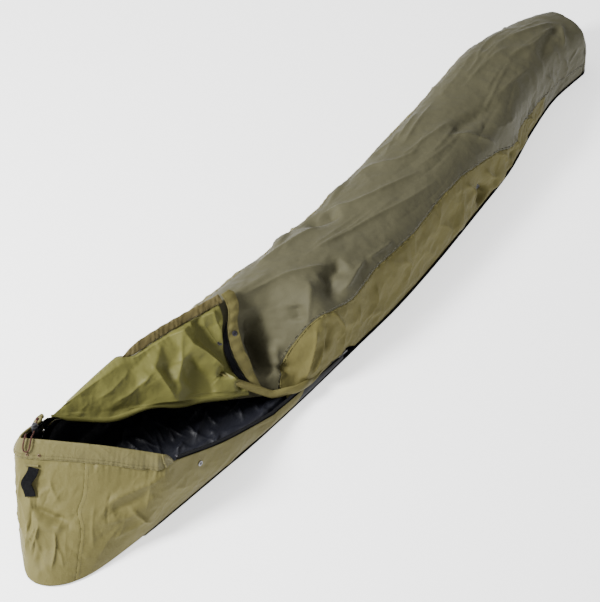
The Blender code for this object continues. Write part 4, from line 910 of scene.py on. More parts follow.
def foot_cloth():
    """Domed foot panel, creased towards its upper corners."""
    middle, half, height = (float(v[0]) for v in station(np.array([FOOT_END_X])))
    across = np.linspace(-0.972, 0.972, 74)
    far, near = OUTLINE[HALF_OUTLINE:], OUTLINE[:HALF_OUTLINE][::-1] * (-1, 1)
    far, near = (side[:np.argmax(side[:, 0]) + 1] for side in (far, near))
    top = np.where(across > 0, np.interp(across, *far.T), np.interp(-across, *near.T))
    a, v = np.meshgrid(across, np.linspace(0, 1, 46), indexing="ij")
    z = WALL_FOOT_Z + (height * top[:, None] - WALL_FOOT_Z - 0.0005) * v
    belly = FOOT_BULGE * np.sqrt(np.maximum(1 - (a / 0.974) ** 4, 0)) * (1 - 0.999 * v**2.4)
    points = np.stack([FOOT_END_X + 0.0006 + belly, middle + half * a, z], -1)
    creases = folds_on(
        lambda columns, rows: points[columns, rows],
        ("sharp", 0.006, 0.012, (40, 55, 66), (44, 20, 8)),
        ("sharp", 0.006, 0.012, (36, 34, 30), (44, 24, 4)),
        ("sharp", 0.006, 0.011, (30, 18, 8), (44, 22, 10)),
        ("soft", -0.005, 0.011, (46, 52, 50), (44, 26, 4)),
        ("soft", -0.005, 0.010, (24, 22, 20), (40, 22, 4)))
    h = fold_field(points, creases) + 0.0018 * noise_field(points, 18.0, 7) + \
        0.0007 * noise_field(points, 60.0, 8)
    h *= smooth(np.minimum(1 - v, (1 - np.abs(a)) * 6) / 0.12) * smooth((z - WALL_FOOT_Z) / 0.03 + 0.1)
    n = grid_normals(points)
    n = -n if n[..., 0].sum() < 0 else n
    points = points + n * h[..., None]
    points[..., 2] = np.maximum(points[..., 2], LOWEST_Z)
    link(outward_sheet("foot_cloth", points, n, [grey, coated])[0], "sack", "grey_laminate", ["foot_panel"])


foot_cloth()

# ---------------------------------------------------------------- hood walls

# rows: kind, height, width, then (ring position, height share) along the fold
WALL_FOLDS = folds_on(
    on_wall,
    ("sharp", 0.0075, 0.012, (7.00, 0.63), (6.60, 0.74), (6.11, 0.85), (5.40, 0.92)),
    ("soft", -0.0060, 0.013, (6.90, 0.55), (6.40, 0.66), (5.90, 0.76)),
    ("sharp", 0.0080, 0.009, (6.51, 0.65), (6.05, 0.42), (5.61, 0.22)),
    ("sharp", 0.0050, 0.010, (7.05, 0.48), (6.50, 0.50), (6.10, 0.53)),
    ("sharp", 0.0040, 0.012, (6.80, 0.30), (6.20, 0.34), (5.60, 0.45)),
    ("sharp", 0.0035, 0.012, (5.30, 0.62), (4.90, 0.50), (4.50, 0.30)),
    ("soft", -0.0130, 0.010, (9.05, 0.62), (8.81, 0.60), (8.40, 0.57), (8.01, 0.54), (7.62, 0.53)),
    ("soft", 0.0085, 0.011, (9.00, 0.55), (8.60, 0.50), (8.20, 0.46), (7.70, 0.47)),
    ("sharp", 0.0090, 0.009, (8.60, 0.50), (8.72, 0.36), (8.98, 0.22)),
    ("sharp", 0.0070, 0.008, (8.70, 0.46), (8.98, 0.34), (9.30, 0.28)),
    ("sharp", 0.0085, 0.009, (8.10, 0.46), (8.02, 0.30), (8.12, 0.12)),
    ("sharp", 0.0060, 0.008, (8.14, 0.34), (7.86, 0.26), (7.72, 0.14)),
    ("soft", -0.0050, 0.010, (8.40, 0.34), (8.52, 0.24), (8.46, 0.10)),
    ("sharp", 0.0055, 0.009, (7.95, 0.66), (8.20, 0.74), (8.36, 0.86)),
    ("sharp", 0.0040, 0.008, (8.70, 0.68), (8.52, 0.74), (8.20, 0.78)),
    ("sharp", 0.0060, 0.010, (9.10, 0.50), (9.15, 0.34), (9.30, 0.15)),
    ("sharp", 0.0060, 0.012, (9.60, 0.90), (9.70, 0.60), (9.60, 0.25)),
    ("sharp", 0.0055, 0.012, (10.20, 0.85), (10.10, 0.50), (10.25, 0.20)),
    ("sharp", 0.0055, 0.012, (10.9, 0.85), (11.1, 0.55), (11.0, 0.20)),
    ("sharp", 0.0055, 0.012, (11.8, 0.90), (11.7, 0.60), (12.0, 0.25)),
    ("sharp", 0.0045, 0.012, (12.6, 0.80), (12.4, 0.50), (12.6, 0.20)))


def wall_random(seed, count, rows, heights):
    """Extra upright wrinkles with seeded places."""
    draw = np.random.default_rng(seed)
    made = []
    for _ in range(count):
        r, v = draw.uniform(*rows), draw.uniform(*heights)
        dr, dv = draw.normal(0, 0.25), draw.uniform(0.08, 0.25)
        points = [(r - dr, min(0.97, v + dv)), (r + draw.normal(0, 0.06), v), (r + dr, max(0.03, v - dv))]
        made.append((on_wall(*points), draw.uniform(0.0012, 0.0036) * draw.choice((1, 1, -1)),
                     draw.uniform(0.006, 0.011), "sharp"))
    return made


for settings in ((21, 14, (5.4, 7.1), (0.2, 0.8)), (22, 20, (7.4, 10.4), (0.15, 0.8)),
                 (23, 20, (10.6, 12.8), (0.15, 0.85)), (24, 16, (2.0, 5.2), (0.2, 0.8))):
    WALL_FOLDS += wall_random(*settings)


def end_seam_shift(v):
    """How far the seam beside the hood's end strays from its row, with a kink over the pouch."""
    return 0.08 + 0.13 * v + 0.11 * bell((v - 0.60) / 0.09) - 0.02 * bell((v - 0.40) / 0.10)


def wall_cloth(name, first, last, rows, cols, replaced, lead=0, trail=0):
    """One panel of the hood or of the wall under the zip; lead and trail let its end seams stray."""
    r_at = np.concatenate([[first, first + 0.012, first + 0.03], np.linspace(first + 0.07, last - 0.07, rows),
                           [last - 0.03, last - 0.012, last]])
    v_at = np.concatenate([np.linspace(0, 0.96, cols), [0.975, 0.988, 1.0]])
    even, v = np.meshgrid(r_at, v_at, indexing="ij")
    stray = np.clip((even - (last - 0.9)) / 0.9, 0, 1) * trail + np.clip((first + 0.9 - even) / 0.9, 0,
                                                                         1) * lead
    row = even + stray * end_seam_shift(v)
    base = ring_wall(row, v)
    n = facing(grid_normals(base), ring_out(row.ravel()).reshape(base.shape))
    tall = np.linalg.norm(ring_wall(row, 1.0) - ring_wall(row, 0.0), axis=-1)
    from_top = (1 - v) * tall
    h = fold_field(base, WALL_FOLDS)
    h += 0.0019 * noise_field(base, 14.0, 31) + 0.0007 * noise_field(base, 60.0, 32)
    h += 0.0014 * crumple_field(base * (0.7, 1.0, 1.0), 11.0, 8)
    h *= (0.1 + 0.9 * smooth(v * tall / 0.03)) * (0.15 + 0.85 * smooth(from_top / 0.012))
    h *= np.clip(tall / 0.10, 0.25, 1)
    # gathers under the hem casing
    ring_rows = np.linspace(0, 13, 600)
    lengths = np.interp(row, ring_rows, walked(ring_wall(ring_rows, 0.9)))
    gathered = smooth((row - 5.0) / 0.3) * (1 - smooth((row - 7.1) / 0.5)) + 0.35
    gathered *= smooth((row - 4.9) / 0.3) * (0.5 + 0.5 * noise_field(base, 22.0, 36)) * \
        smooth(from_top / 0.006)
    h += gathered * pucker(lengths, from_top, 33, 0.0030, 0.019)
    to_seam = np.minimum(even - first, last - even) * 0.09
    h += pucker(v * tall, to_seam, 34, 0.0012, 0.016) - seam_drop(to_seam)
    points = base + n * h[..., None]
    points[..., 2] = np.maximum(points[..., 2], LOWEST_Z)
    item, normals = outward_sheet(name, points, n, [khaki, black, black_edge])
    if first < 0.5:
        # the low stretch beside the closed zip is black
        marks = np.zeros(len(item.data.polygons), int)
        item.data.polygons.foreach_get("material_index", marks)
        cells = (row + 0.35 * v)[:-1, :-1].ravel()
        marks[:len(cells)][cells < 1.55] = 2
        item.data.polygons.foreach_set("material_index", marks)
    link(item, "sack", "khaki_nylon", [replaced])
    return points, normals


near_wall, near_wall_n = wall_cloth("near_wall_cloth", 0.0, ROW_END_SEAM[0] + 0.001, 330, 44,
                                    "near_wall_panel",
                                    trail=1)
wall_cloth("hood_end_cloth", ROW_END_SEAM[0] - 0.001, ROW_END_SEAM[1] + 0.001, 110, 60, "hood_end_panel",
           lead=1)
far_wall, far_wall_n = wall_cloth("hood_far_cloth", ROW_END_SEAM[1] - 0.001, ROW_FAR_END, 90, 50,
                                  "hood_far_panel")
stitches("stitch_end_seam", near_wall[-4, 2:-3], near_wall_n[-4, 2:-3], "sack")
stitches("stitch_end_seam_b", far_wall[3, 2:-3], far_wall_n[3, 2:-3], "sack")


def hood_casing():
    """Gathered hem round the hood's opening, with the drawcord inside."""
    rows = np.linspace(*ROW_CASING, 430)
    middle, up, out, high = casing_frame(rows)
    lengths = walked(middle)[:, None]
    turns = np.linspace(0, 2 * math.pi, 28, endpoint=False)
    level, side = box_outline(turns, 0.75, 0.42)
    outer = np.cos(turns) > 0
    phases = np.random.default_rng(41).uniform(0, 6.3, 8)
    wave = sum(np.sin(lengths * 2 * math.pi / w + p + 2.2 * level * b) for w, p, b in
               zip((0.039, 0.024, 0.061, 0.012), phases, (1.6, -2.4, 3.0, 0.6)))
    gather = (0.22 + 0.38 * (1 - smooth((rows - 6.6) / 0.8)) * smooth((rows - 5.1) / 0.2))[:, None]
    slim = (1 - 0.75 * smooth((rows - 12.45) / 0.45))[:, None]
    half_high = high[:, None] / 2
    tall = slim * half_high * level * np.where(level > 0, 0.985, 1.0) + 0.0030 * np.minimum(level, 0)
    thick = CASING_THICK / 2 * side * (0.62 + 0.38 * (1 - np.minimum(level**2, 1)) ** 0.5)
    thick = thick + gather * 0.0011 * wave * (1 - 0.55 * level) * 0.5 * np.where(outer, 1, 0.6)
    for at, depth, size in ((5.42, 0.0046, 0.10), (5.62, -0.0026, 0.06), (5.90, 0.0040, 0.12),
                            (6.20, -0.0020, 0.08),
                            (6.50, 0.0024, 0.16), (5.22, 0.0026, 0.05)):
        hump = bell((rows - at) / size)[:, None] * depth
        thick = thick + hump * (thick > 0) * np.clip(1.2 - tall / half_high, 0, 1)
    rings = np.stack([tall, thick], -1)
    link(band("hood_hem", middle, up, out, rings, khaki_hem), "sack", "khaki_nylon",
         ["hood_hem_casing", "hood_drawcord"])
    for share, label in ((-0.80, "a"), (-0.60, "b")):
        place = nearest_level(turns, 0.42, share)
        line = middle + up * rings[:, place, :1] + out * rings[:, place, 1:2]
        stitches("stitch_hem_" + label, line[3:-3], out[3:-3], "sack", pitch=0.0042, lift=0.0003)


hood_casing()

# ---------------------------------------------------------------- black lining and groundsheet

def lining():
    """Rumpled black lining inside the sack."""
    xs = np.concatenate([np.linspace(-0.955, -0.16, 330), np.linspace(-0.145, 1.04, 60)])
    ws = np.linspace(-1, 1, 96)
    middle, half, _ = station(xs)
    half = half - 0.014 - 0.030 * np.maximum(0.0, (-0.86 - xs) / 0.07)
    # heights across a section, rising at both sides: by the opening, and inside the closed tube
    across = np.array((-1.0, -0.97, -0.90, -0.76, -0.45, 0.0, 0.45, 0.76, 0.90, 0.97, 1.0))
    flat = (0.034, 0.024, 0.020, 0.020, 0.020, 0.024, 0.036)
    rows = []
    for x, top in zip(xs, 0.62 * np.minimum(zip_wall_height(xs), 0.17)):
        z = (0.10, 0.060, *flat, 0.060, 0.10) if x > -0.14 else (top, top * 0.6 + 0.006, *flat, 0.085, 0.150)
        rows.append(np.interp(ws, across, z))
    points = np.stack([np.repeat(xs[:, None], len(ws), 1), middle[:, None] + half[:, None] * ws,
                       np.maximum(np.array(rows), 0.012)], -1)
    n = facing(grid_normals(points), UP)
    draw = np.random.default_rng(51)
    folds = []
    for _ in range(90):
        x, w = draw.uniform(-0.93, -0.15), draw.uniform(-0.9, 0.85)
        reach, turn = draw.uniform(0.03, 0.12), draw.normal(0.9, 0.5)
        dx, dw = reach * math.cos(turn), reach * math.sin(turn) / 0.15
        line = ((x - dx, w - dw), (x, w + draw.normal(0, 0.05)), (x + dx, w + dw))
        places = [(int(np.argmin(np.abs(xs - a))), np.clip(int((b + 1) / 2 * 95), 0, 95)) for a, b in line]
        folds.append((np.array([points[i, j] for i, j in places]), draw.uniform(0.003, 0.009),
                      draw.uniform(0.006, 0.011), "sharp"))
    h = fold_field(points, folds) + 0.005 * np.abs(noise_field(points * (1, 1, 0.3), 9.0, 52))
    h += 0.0030 * crumple_field(points, 9.0, 53)
    points = points + n * (np.clip(h, -0.008, 0.020) * smooth((1 - np.abs(ws)) / 0.05))[..., None]
    points[..., 2] = np.maximum(points[..., 2], 0.008)
    item, _ = outward_sheet("black_lining", points, UP, [black, black], 0.0009)
    link(item, "sack", "black_nylon", ["inner_lining"])


lining()


def groundsheet():
    """Black base with a soft rolled edge that shows all round."""
    foot = FOOT_END_X + FOOT_BULGE
    x = (HEAD_X + foot) / 2 + (foot - HEAD_X) / 2 * np.sin(np.linspace(-1, 1, 420) * math.pi / 2)
    middle, half, _ = station(x)
    near, far = middle - half - 0.0022, middle + half + 0.001
    # under the hood the edges follow the ring of walls
    feet = cubic(np.arange(len(RING)), RING[:, :2], np.linspace(0, len(RING) - 1, 600))
    left = int(np.argmin(feet[:, 0]))
    x_in = np.maximum(x - 0.001, feet[left, 0] + 0.0008)
    near = np.where(x < -0.885, np.interp(-x_in, -feet[:left, 0], feet[:left, 1]) + 0.0030, near)
    far = np.where(x < -0.885, np.interp(x_in, feet[left:, 0], feet[left:, 1]) - 0.002, far)
    keep = np.sqrt(np.maximum(0, 1 - 0.86 * np.clip((x - FOOT_END_X) / FOOT_BULGE, 0, 1) ** 2))
    centre = (near + far) / 2
    near, far = centre + (near - centre) * keep, centre + (far - centre) * keep
    s = np.concatenate([[0, 0.004, 0.010, 0.02], np.linspace(0.04, 0.96, 30), [0.98, 0.990, 0.996, 1]])
    y = near[:, None] + (far - near)[:, None] * s
    wave = 0.00024 * (np.sin(x * 70) + np.sin(x * 173 + 1) + np.sin(x * 31 + 2))[:, None]
    z = 0.0028 + 0.0011 * (bell((s - 0.006) / 0.006) + bell((s - 0.994) / 0.006))
    z = z + wave * bell(np.minimum(s, 1 - s) / 0.01)
    points = np.stack([np.repeat(x[:, None], len(s), 1), y, z], -1)
    item = cloth_sheet("ground_cloth", points, 0.0022, [black_edge, black_edge],
                       np.broadcast_to(UP, points.shape))
    link(fix_normals(item), "sack", "black_nylon", ["floor_panel"])


groundsheet()

# ---------------------------------------------------------------- entrance flap

FLAP_KNOTS = (
    # p, q, height: outline first, then ridges and valleys
    (0.020, 0.006, 0.000), (0.060, 0.040, 0.002), (0.135, 0.082, 0.004), (0.199, 0.130, 0.004),
    (0.300, 0.170, 0.006),
    (0.353, 0.200, 0.014), (0.407, 0.223, 0.004), (0.463, 0.246, 0.000), (0.480, 0.235, -0.002),
    (0.128, -0.004, 0.000), (0.182, -0.004, -0.002), (0.236, 0.000, -0.004), (0.331, -0.004, 0.012),
    (0.436, -0.004, -0.008), (0.500, -0.004, 0.002), (0.562, -0.002, 0.006), (0.590, 0.004, 0.002),
    (0.356, 0.180, 0.020), (0.381, 0.140, 0.020), (0.414, 0.117, 0.019), (0.446, 0.086, 0.018),
    (0.490, 0.041, 0.013),
    (0.538, 0.016, 0.008), (0.354, 0.131, 0.010), (0.350, 0.090, 0.008), (0.338, 0.058, 0.014),
    (0.320, 0.090, 0.002),
    (0.276, 0.091, 0.013), (0.302, 0.044, 0.014), (0.236, 0.035, 0.004), (0.182, 0.012, 0.003),
    (0.380, 0.050, -0.010), (0.430, 0.030, -0.012), (0.385, 0.018, -0.006), (0.442, 0.046, 0.004),
    (0.221, 0.093, 0.003), (0.157, 0.044, 0.005), (0.304, 0.148, 0.008), (0.324, 0.174, 0.004),
    (0.405, 0.199, -0.006), (0.419, 0.165, -0.009), (0.428, 0.130, -0.010), (0.390, 0.185, 0.006),
    (0.400, 0.150, -0.004), (0.407, 0.138, 0.002), (0.440, 0.215, 0.008), (0.470, 0.190, 0.004),
    (0.467, 0.140, 0.004),
    (0.455, 0.110, -0.014), (0.490, 0.070, -0.014), (0.520, 0.040, -0.012), (0.260, 0.120, 0.004),
    (0.110, 0.040, 0.000), (0.250, 0.062, 0.012))
# rows: kind, height, width, then (p, q) along the fold
FLAP_FOLDS = folds_on(
    on_flap,
    ("sharp", 0.0135, 0.0085, (0.346, 0.196), (0.356, 0.180), (0.381, 0.140), (0.414, 0.117), (0.446, 0.086),
     (0.490, 0.041), (0.545, 0.012)),
    ("sharp", 0.0092, 0.0080, (0.352, 0.196), (0.354, 0.131), (0.350, 0.090), (0.334, 0.050)),
    ("sharp", 0.0115, 0.0080, (0.262, 0.112), (0.276, 0.091), (0.302, 0.044), (0.326, 0.004)),
    ("sharp", 0.0078, 0.0080, (0.276, 0.091), (0.250, 0.062), (0.205, 0.030), (0.150, 0.010)),
    ("sharp", 0.0048, 0.0075, (0.221, 0.110), (0.200, 0.078), (0.157, 0.044), (0.110, 0.022)),
    ("soft", -0.0130, 0.0140, (0.366, 0.120), (0.392, 0.070), (0.440, 0.030)),
    ("soft", -0.0105, 0.0120, (0.296, 0.100), (0.318, 0.062), (0.336, 0.020)),
    ("soft", -0.0085, 0.0080, (0.404, 0.210), (0.410, 0.180), (0.424, 0.140)),
    ("sharp", 0.0060, 0.0060, (0.420, 0.222), (0.428, 0.186), (0.446, 0.150), (0.470, 0.110)),
    ("sharp", 0.0050, 0.0055, (0.386, 0.205), (0.392, 0.176), (0.404, 0.150)),
    ("sharp", 0.0050, 0.0060, (0.448, 0.226), (0.456, 0.196), (0.470, 0.160)),
    ("sharp", 0.0050, 0.0070, (0.350, 0.008), (0.400, 0.014), (0.470, 0.010)))


def hem_line(share, inset):
    """Points at shares of the flap's hem, inset from its edge, with the directions inward there."""
    keys = np.array((FOLD_FAR, FLAP_FAR, FLAP_TIP))
    lengths = walked(keys)
    at = np.atleast_1d(share) * lengths[2]
    point = cubic(lengths, keys, at)
    along = unit(cubic(lengths, keys, np.minimum(at + 0.002, lengths[2])) -
                 cubic(lengths, keys, np.maximum(at - 0.002, 0)))
    inward = facing(unit(np.cross(along, FOLD_UP)), FOLD_FAR + (FOLD_NEAR - FOLD_FAR) * 0.6 - point)
    return point + inward * inset, inward


def flap_ends():
    """Shares of the fold and of the hem where the flap's zip edge meets them."""
    fold_end = 1 + FLAP_EDGE_OUT / ((FOLD_NEAR - FOLD_FAR) @ ZIP_OUT)
    low, high = 0.10, 1.0
    for _ in range(40):
        middle = (low + high) / 2
        if (hem_line(middle, FLAP_HEM_WIDE + 0.001)[0][0] - FOLD_NEAR) @ ZIP_OUT < FLAP_EDGE_OUT:
            low = middle
        else:
            high = middle
    return fold_end, low


def facet_heights(p, q, knots):
    """Height over the plane at (p, q), by flat facets between knots; outside them, of the nearest knot."""
    table = np.array(knots)
    corner, _, faces, sources, _, _ = delaunay_2d_cdt([Vector(k[:2]) for k in knots], [], [], 0, 1e-6)
    corner, heights = np.array([tuple(v) for v in corner]), table[[s[0] for s in sources], 2]
    out = table[((p[..., None] - table[:, 0]) ** 2 + (q[..., None] - table[:, 1]) ** 2).argmin(-1), 2]
    for face in faces:
        a, b, c = (corner[i] for i in face)
        det = (b[0] - a[0]) * (c[1] - a[1]) - (c[0] - a[0]) * (b[1] - a[1])
        if abs(det) < 1e-12:
            continue
        u = ((p - a[0]) * (c[1] - a[1]) - (c[0] - a[0]) * (q - a[1])) / det
        v = ((b[0] - a[0]) * (q - a[1]) - (p - a[0]) * (b[1] - a[1])) / det
        inside = (u >= -1e-6) & (v >= -1e-6) & (u + v <= 1 + 1e-6)
        out = np.where(inside, heights[face[0]] * (1 - u - v) + heights[face[1]] * u + heights[face[2]] * v,
                       out)
    return out


def relax(field, rounds):
    """Rounds off a field on a grid."""
    for _ in range(rounds):
        padded = np.pad(field, 1, mode="edge")
        field = field * 0.5 + 0.125 * (padded[:-2, 1:-1] + padded[2:, 1:-1] + padded[1:-1, :-2] +
                                       padded[1:-1, 2:])
    return field


def flap_wrinkles():
    """The flap's drawn folds, after small ones with seeded places."""
    draw = np.random.default_rng(63)
    folds = []
    for _ in range(22):
        cp, cq = draw.uniform(0.08, 0.50), draw.uniform(0.01, 0.22)
        turn, reach = draw.normal(1.0, 0.5), draw.uniform(0.015, 0.05)
        dp, dq = reach * math.cos(turn), reach * math.sin(turn)
        line = on_flap((cp - dp, cq - dq), (cp, cq + draw.normal(0, 0.003)), (cp + dp, cq + dq))
        folds.append((line, draw.uniform(0.0010, 0.0026), draw.uniform(0.004, 0.008), "sharp"))
    return folds + FLAP_FOLDS


def entrance_flap():
    """The flap, folded back with its coated side up, from the fold at v = 0 to its hem at v = 1."""
    fold_end, hem_end = flap_ends()
    v, u = np.linspace(0.0, 1.0, 150)[:, None], np.linspace(0, 1, 240)[None, :]
    hem_share = 0.10 + (hem_end - 0.10) * u[0]
    bare = 1 - smooth((hem_share - FLAP_HEM_START) / 0.09)      # where the edge has no casing
    hem_edge, hem_in = hem_line(hem_share, 0.0)
    hem = hem_edge + hem_in * (FLAP_HEM_WIDE + 0.0006 - 0.0250 * bare)[:, None]
    base = FOLD_FAR + (FOLD_NEAR - FOLD_FAR) * (fold_end * u[0])[:, None]
    points = base[None] + (hem - base)[None] * v[..., None]
    share = (points - FOLD_NEAR) @ ZIP_ALONG / np.linalg.norm(FLAP_TIP - FOLD_NEAR)
    points = points + edge_shift(share) * (u * u)[..., None]
    droop = 0.023 * bell((u - 0.26) / 0.15) + 0.006 * bell((u - 0.62) / 0.12)
    droop = droop * smooth(u / 0.05) * bell(v / 0.30)
    points = points - (FOLD_ACROSS + 0.25 * FOLD_UP) * droop[..., None]
    h = 1.6 * relax(facet_heights((points - FOLD_FAR) @ FOLD_ALONG, (points - FOLD_FAR) @ FOLD_ACROSS,
                                  FLAP_KNOTS), 22)
    h += 0.0010 * noise_field(points, 22.0, 61) + 0.0003 * noise_field(points, 75.0, 62)
    h += 0.0007 * crumple_field(points, 15.0, 65) + fold_field(points, flap_wrinkles())
    h += pucker(walked(hem)[None, :], (1 - v) * 0.16, 64, 0.0013, 0.020)
    h *= smooth(v / 0.05) * smooth((1 - v) / 0.04)
    deepest = 0.0095
    h = np.where(h < 0, deepest * np.tanh(h / deepest), h) - 0.0100 * smooth((v - 0.82) / 0.18) * bare
    points = points + FOLD_UP * h[..., None]
    item, _ = outward_sheet("flap_cloth", points, FOLD_UP, [coated, grey], THIN_CLOTH)
    link(item, "flap", "coated_inner", ["entrance_flap"])
    fold_roll(points)


def fold_roll(flap):
    """Rolled edge along the fold, that joins the flap to the top."""
    along = np.linspace(0, 1, flap.shape[1])
    sag = 0.0020 * np.sin(along * 9.0 + 0.5) + 0.0014 * np.sin(along * 23.0) + \
        0.0030 * np.sin(along * math.pi)
    radius = np.maximum(0.0054 + sag * smooth(along / 0.1) * smooth((1 - along) / 0.1), 0.0030)
    radius = (radius * (0.35 + 0.65 * smooth(along / 0.08)))[:, None]
    centre = flap[0] - FOLD_UP * radius
    roll = np.stack([centre + FOLD_UP * radius * math.cos(t) - FOLD_ACROSS * radius * 1.25 * math.sin(t)
                     for t in np.linspace(0, math.pi, 14)[1:]])
    reach = (0.004 + 0.016 * smooth(along / 0.12))[:, None]
    tail = roll[-1] + FOLD_ACROSS * np.linspace(0.15, 1.0, 5)[:, None, None] * reach
    strip = np.concatenate([flap[2:3] - FOLD_UP * 0.0006, flap[:1], roll, tail])
    strip[..., 2] = np.maximum(strip[..., 2], 0.045)
    n = grid_normals(strip)
    item = cloth_sheet("fold_roll", strip, THIN_CLOTH, [coated, grey], n, (n[1] @ FOLD_UP).mean() < 0)
    blend_over_fold(item)


entrance_flap()


def hood_corner():
    """End of the hood's far side, from under its casing to the fold's far corner."""
    rows = np.linspace(11.9, 12.94, 14)
    low = np.concatenate([ring_wall(rows, 0.86), shell((-0.886, -0.876, -0.866), (0.80, 0.775, 0.76))])
    high = np.concatenate([rim(rows) - (0, 0, 0.003),
                           flap_at((0.004, 0.020, 0.040), (-0.002, -0.002, -0.001), -0.003)])
    v = np.linspace(0, 1, 9)[None, :, None]
    grid = low[:, None] * (1 - v) + high[:, None] * v
    link(outward_sheet("hood_corner", grid, (0, 1.0, 0), [khaki, black], THIN_CLOTH)[0], "sack",
         "khaki_nylon")


hood_corner()


def fold_hem():
    """Side strip's edge that rolls over the near end of the fold."""
    on_strip = [near_grid[int(np.argmin(np.abs(near_grid[:, 0, 0] - x))), 2]
                for x in (-0.268, -0.242, -0.216, -0.190)]
    on_fold = flap_at((0.452, 0.470, 0.492, 0.522, 0.560, 0.598), (0.064, 0.050, 0.035, 0.020, 0.004, -0.010),
                      (-0.002, 0.006, 0.010, 0.008, 0.006, 0.003))
    keys = np.concatenate([on_fold, [(-0.352, -0.146, 0.064), (-0.325, -0.158, 0.058),
                                     (-0.296, -0.163, 0.052)],
                           on_strip])
    line = cubic(np.arange(len(keys)), keys, np.linspace(0, len(keys) - 1, 140))
    u = np.linspace(0, 1, len(line))[:, None]
    along = unit(np.gradient(line, axis=0))
    outs = unit(np.cross(along, unit(FOLD_UP + np.array((0, -0.5, 0.1)) * u)))
    turns = np.linspace(0, 2 * math.pi, 20, endpoint=False)
    swell, fade = smooth(u / 0.26), smooth((u - 0.55) / 0.45)
    wide = 0.0014 + 0.0091 * swell - 0.0075 * fade
    thick = 0.0007 + 0.0051 * swell - 0.0044 * fade
    rings = np.stack([thick * np.sin(turns) + 0.0006 * np.sin(u * 31 + 3 * np.cos(turns)),
                      wide * np.cos(turns)], -1)
    item = band("fold_hem", line, np.cross(outs, along), outs, rings, khaki)
    blend_over_fold(item)


fold_hem()


def flap_hem():
    """Gathered hem of the flap, with its drawcord inside."""
    shares = np.linspace(FLAP_HEM_START, 0.975, 260)
    middle, inward = hem_line(shares, FLAP_HEM_WIDE / 2)
    middle = middle - FOLD_UP * 0.001
    lengths = walked(middle)[:, None]
    turns = np.linspace(0, 2 * math.pi, 24, endpoint=False)
    level, side = box_outline(turns, 0.8, 0.5)
    taper = np.minimum(1, 0.12 + 2.4 * (shares - FLAP_HEM_START) / 0.3)[:, None]
    circle = 2 * math.pi
    twist = 2.5 * np.sin(lengths * 41) + 1.6 * np.sin(lengths * 97 + 1)
    wave = 0.7 * np.sin(lengths * circle / 0.031 + 2 * level + twist) + \
        0.5 * np.sin(lengths * circle / 0.017 + 1 - 3 * level +
                     twist) + 0.9 * np.sin(lengths * circle / 0.063 + 2)
    rings = np.stack([
        FLAP_HEM_WIDE / 2 * level * (0.99 + 0.05 * np.sin(lengths * circle / 0.034)) * taper,
        0.0038 * side * taper + 0.0010 * wave * np.where(np.cos(turns) > 0, 1, 0.4)], -1)
    ups = np.repeat(FOLD_UP[None], len(shares), 0)
    item = band("flap_hem", middle, -inward, ups, rings, khaki_dark)
    link(item, "flap", "khaki_nylon", ["flap_hem_casing", "flap_drawcord"])
    place = nearest_level(turns, 0.5, -0.72)
    line = middle - inward * rings[:, place, :1] + ups * rings[:, place, 1:2]
    stitches("stitch_flap_hem", line[3:-3], ups[3:-3], "flap", lift=0.0003)


flap_hem()


def zip_edge(share, across, lift=0.0):
    """Points by the flap's zip edge: share along it, across outward of it, lift over the flap."""
    share, across, lift = np.broadcast_arrays(*(np.asarray(v, float) for v in (share, across, lift)))
    straight = FOLD_NEAR + (FLAP_TIP - FOLD_NEAR) * share[..., None] + ZIP_OUT * across[..., None]
    return straight + edge_shift(share) + FOLD_UP * lift[..., None]


def storm_strip():
    """Storm flap: a doubled khaki strip with a row of stitches along both edges."""
    shares, wide = np.linspace(*STORM_SPAN, 170)[:, None], np.linspace(0, 1, 22)[None, :]
    taper = np.minimum(np.minimum(1.0, 0.45 + 2.2 * (shares - STORM_SPAN[0])),
                       0.75 + 6 * (STORM_SPAN[1] - shares))
    points = zip_edge(shares, STORM_FLAP[0] + (STORM_FLAP[1] - STORM_FLAP[0]) * taper * wide)
    h = 0.0016 * np.sin(shares * 23 + 2 * wide) * wide + 0.0010 * np.sin(shares * 61 + 1.0)
    h = h + 0.0030 * wide * (1 - wide) * 4 + 0.0008 * noise_field(points, 40.0, 71)
    h = h + 0.0010 * bell(np.minimum(wide, 1 - wide) / 0.08)
    stud = zip_edge(0.565, 0.0125)
    h = h - 0.0042 * bell(np.linalg.norm(points - stud, axis=-1) / 0.0125)
    points = points + FOLD_UP * h[..., None]
    item, _ = outward_sheet("storm_cloth", points, FOLD_UP, [khaki, khaki], 0.0014)
    link(item, "storm_flap", "khaki_nylon", ["storm_flap"])
    for label, column in (("a", 2), ("b", -3)):
        line = points[2:-2, column]
        stitches("stitch_storm_" + label, line, np.broadcast_to(FOLD_UP, line.shape), "storm_flap")


storm_strip()

# ---------------------------------------------------------------- zips and webbing tab

def zip_half(name, body, grid, normals, line, ups, outs):
    """Tape and teeth of one stretch of the zip."""
    normals = np.broadcast_to(normals, grid.shape)
    tape = cloth_sheet(name + "_tape_cloth", grid, THIN_CLOTH, [zip_cloth, zip_cloth], normals)
    link(fix_normals(tape), body, "zip_black", [name + "_zip_tape"])
    ups, outs = (np.broadcast_to(v, line.shape) for v in (ups, outs))
    teeth(name + "_teeth", line, ups, outs, body, name + "_zip_coil")


def wall_edge(row, over):
    """Points over the top edge of the wall, a little inside it."""
    return ring_wall(row, 1.0) - ring_out(row) * 0.0031 + np.array((0, 0, over))


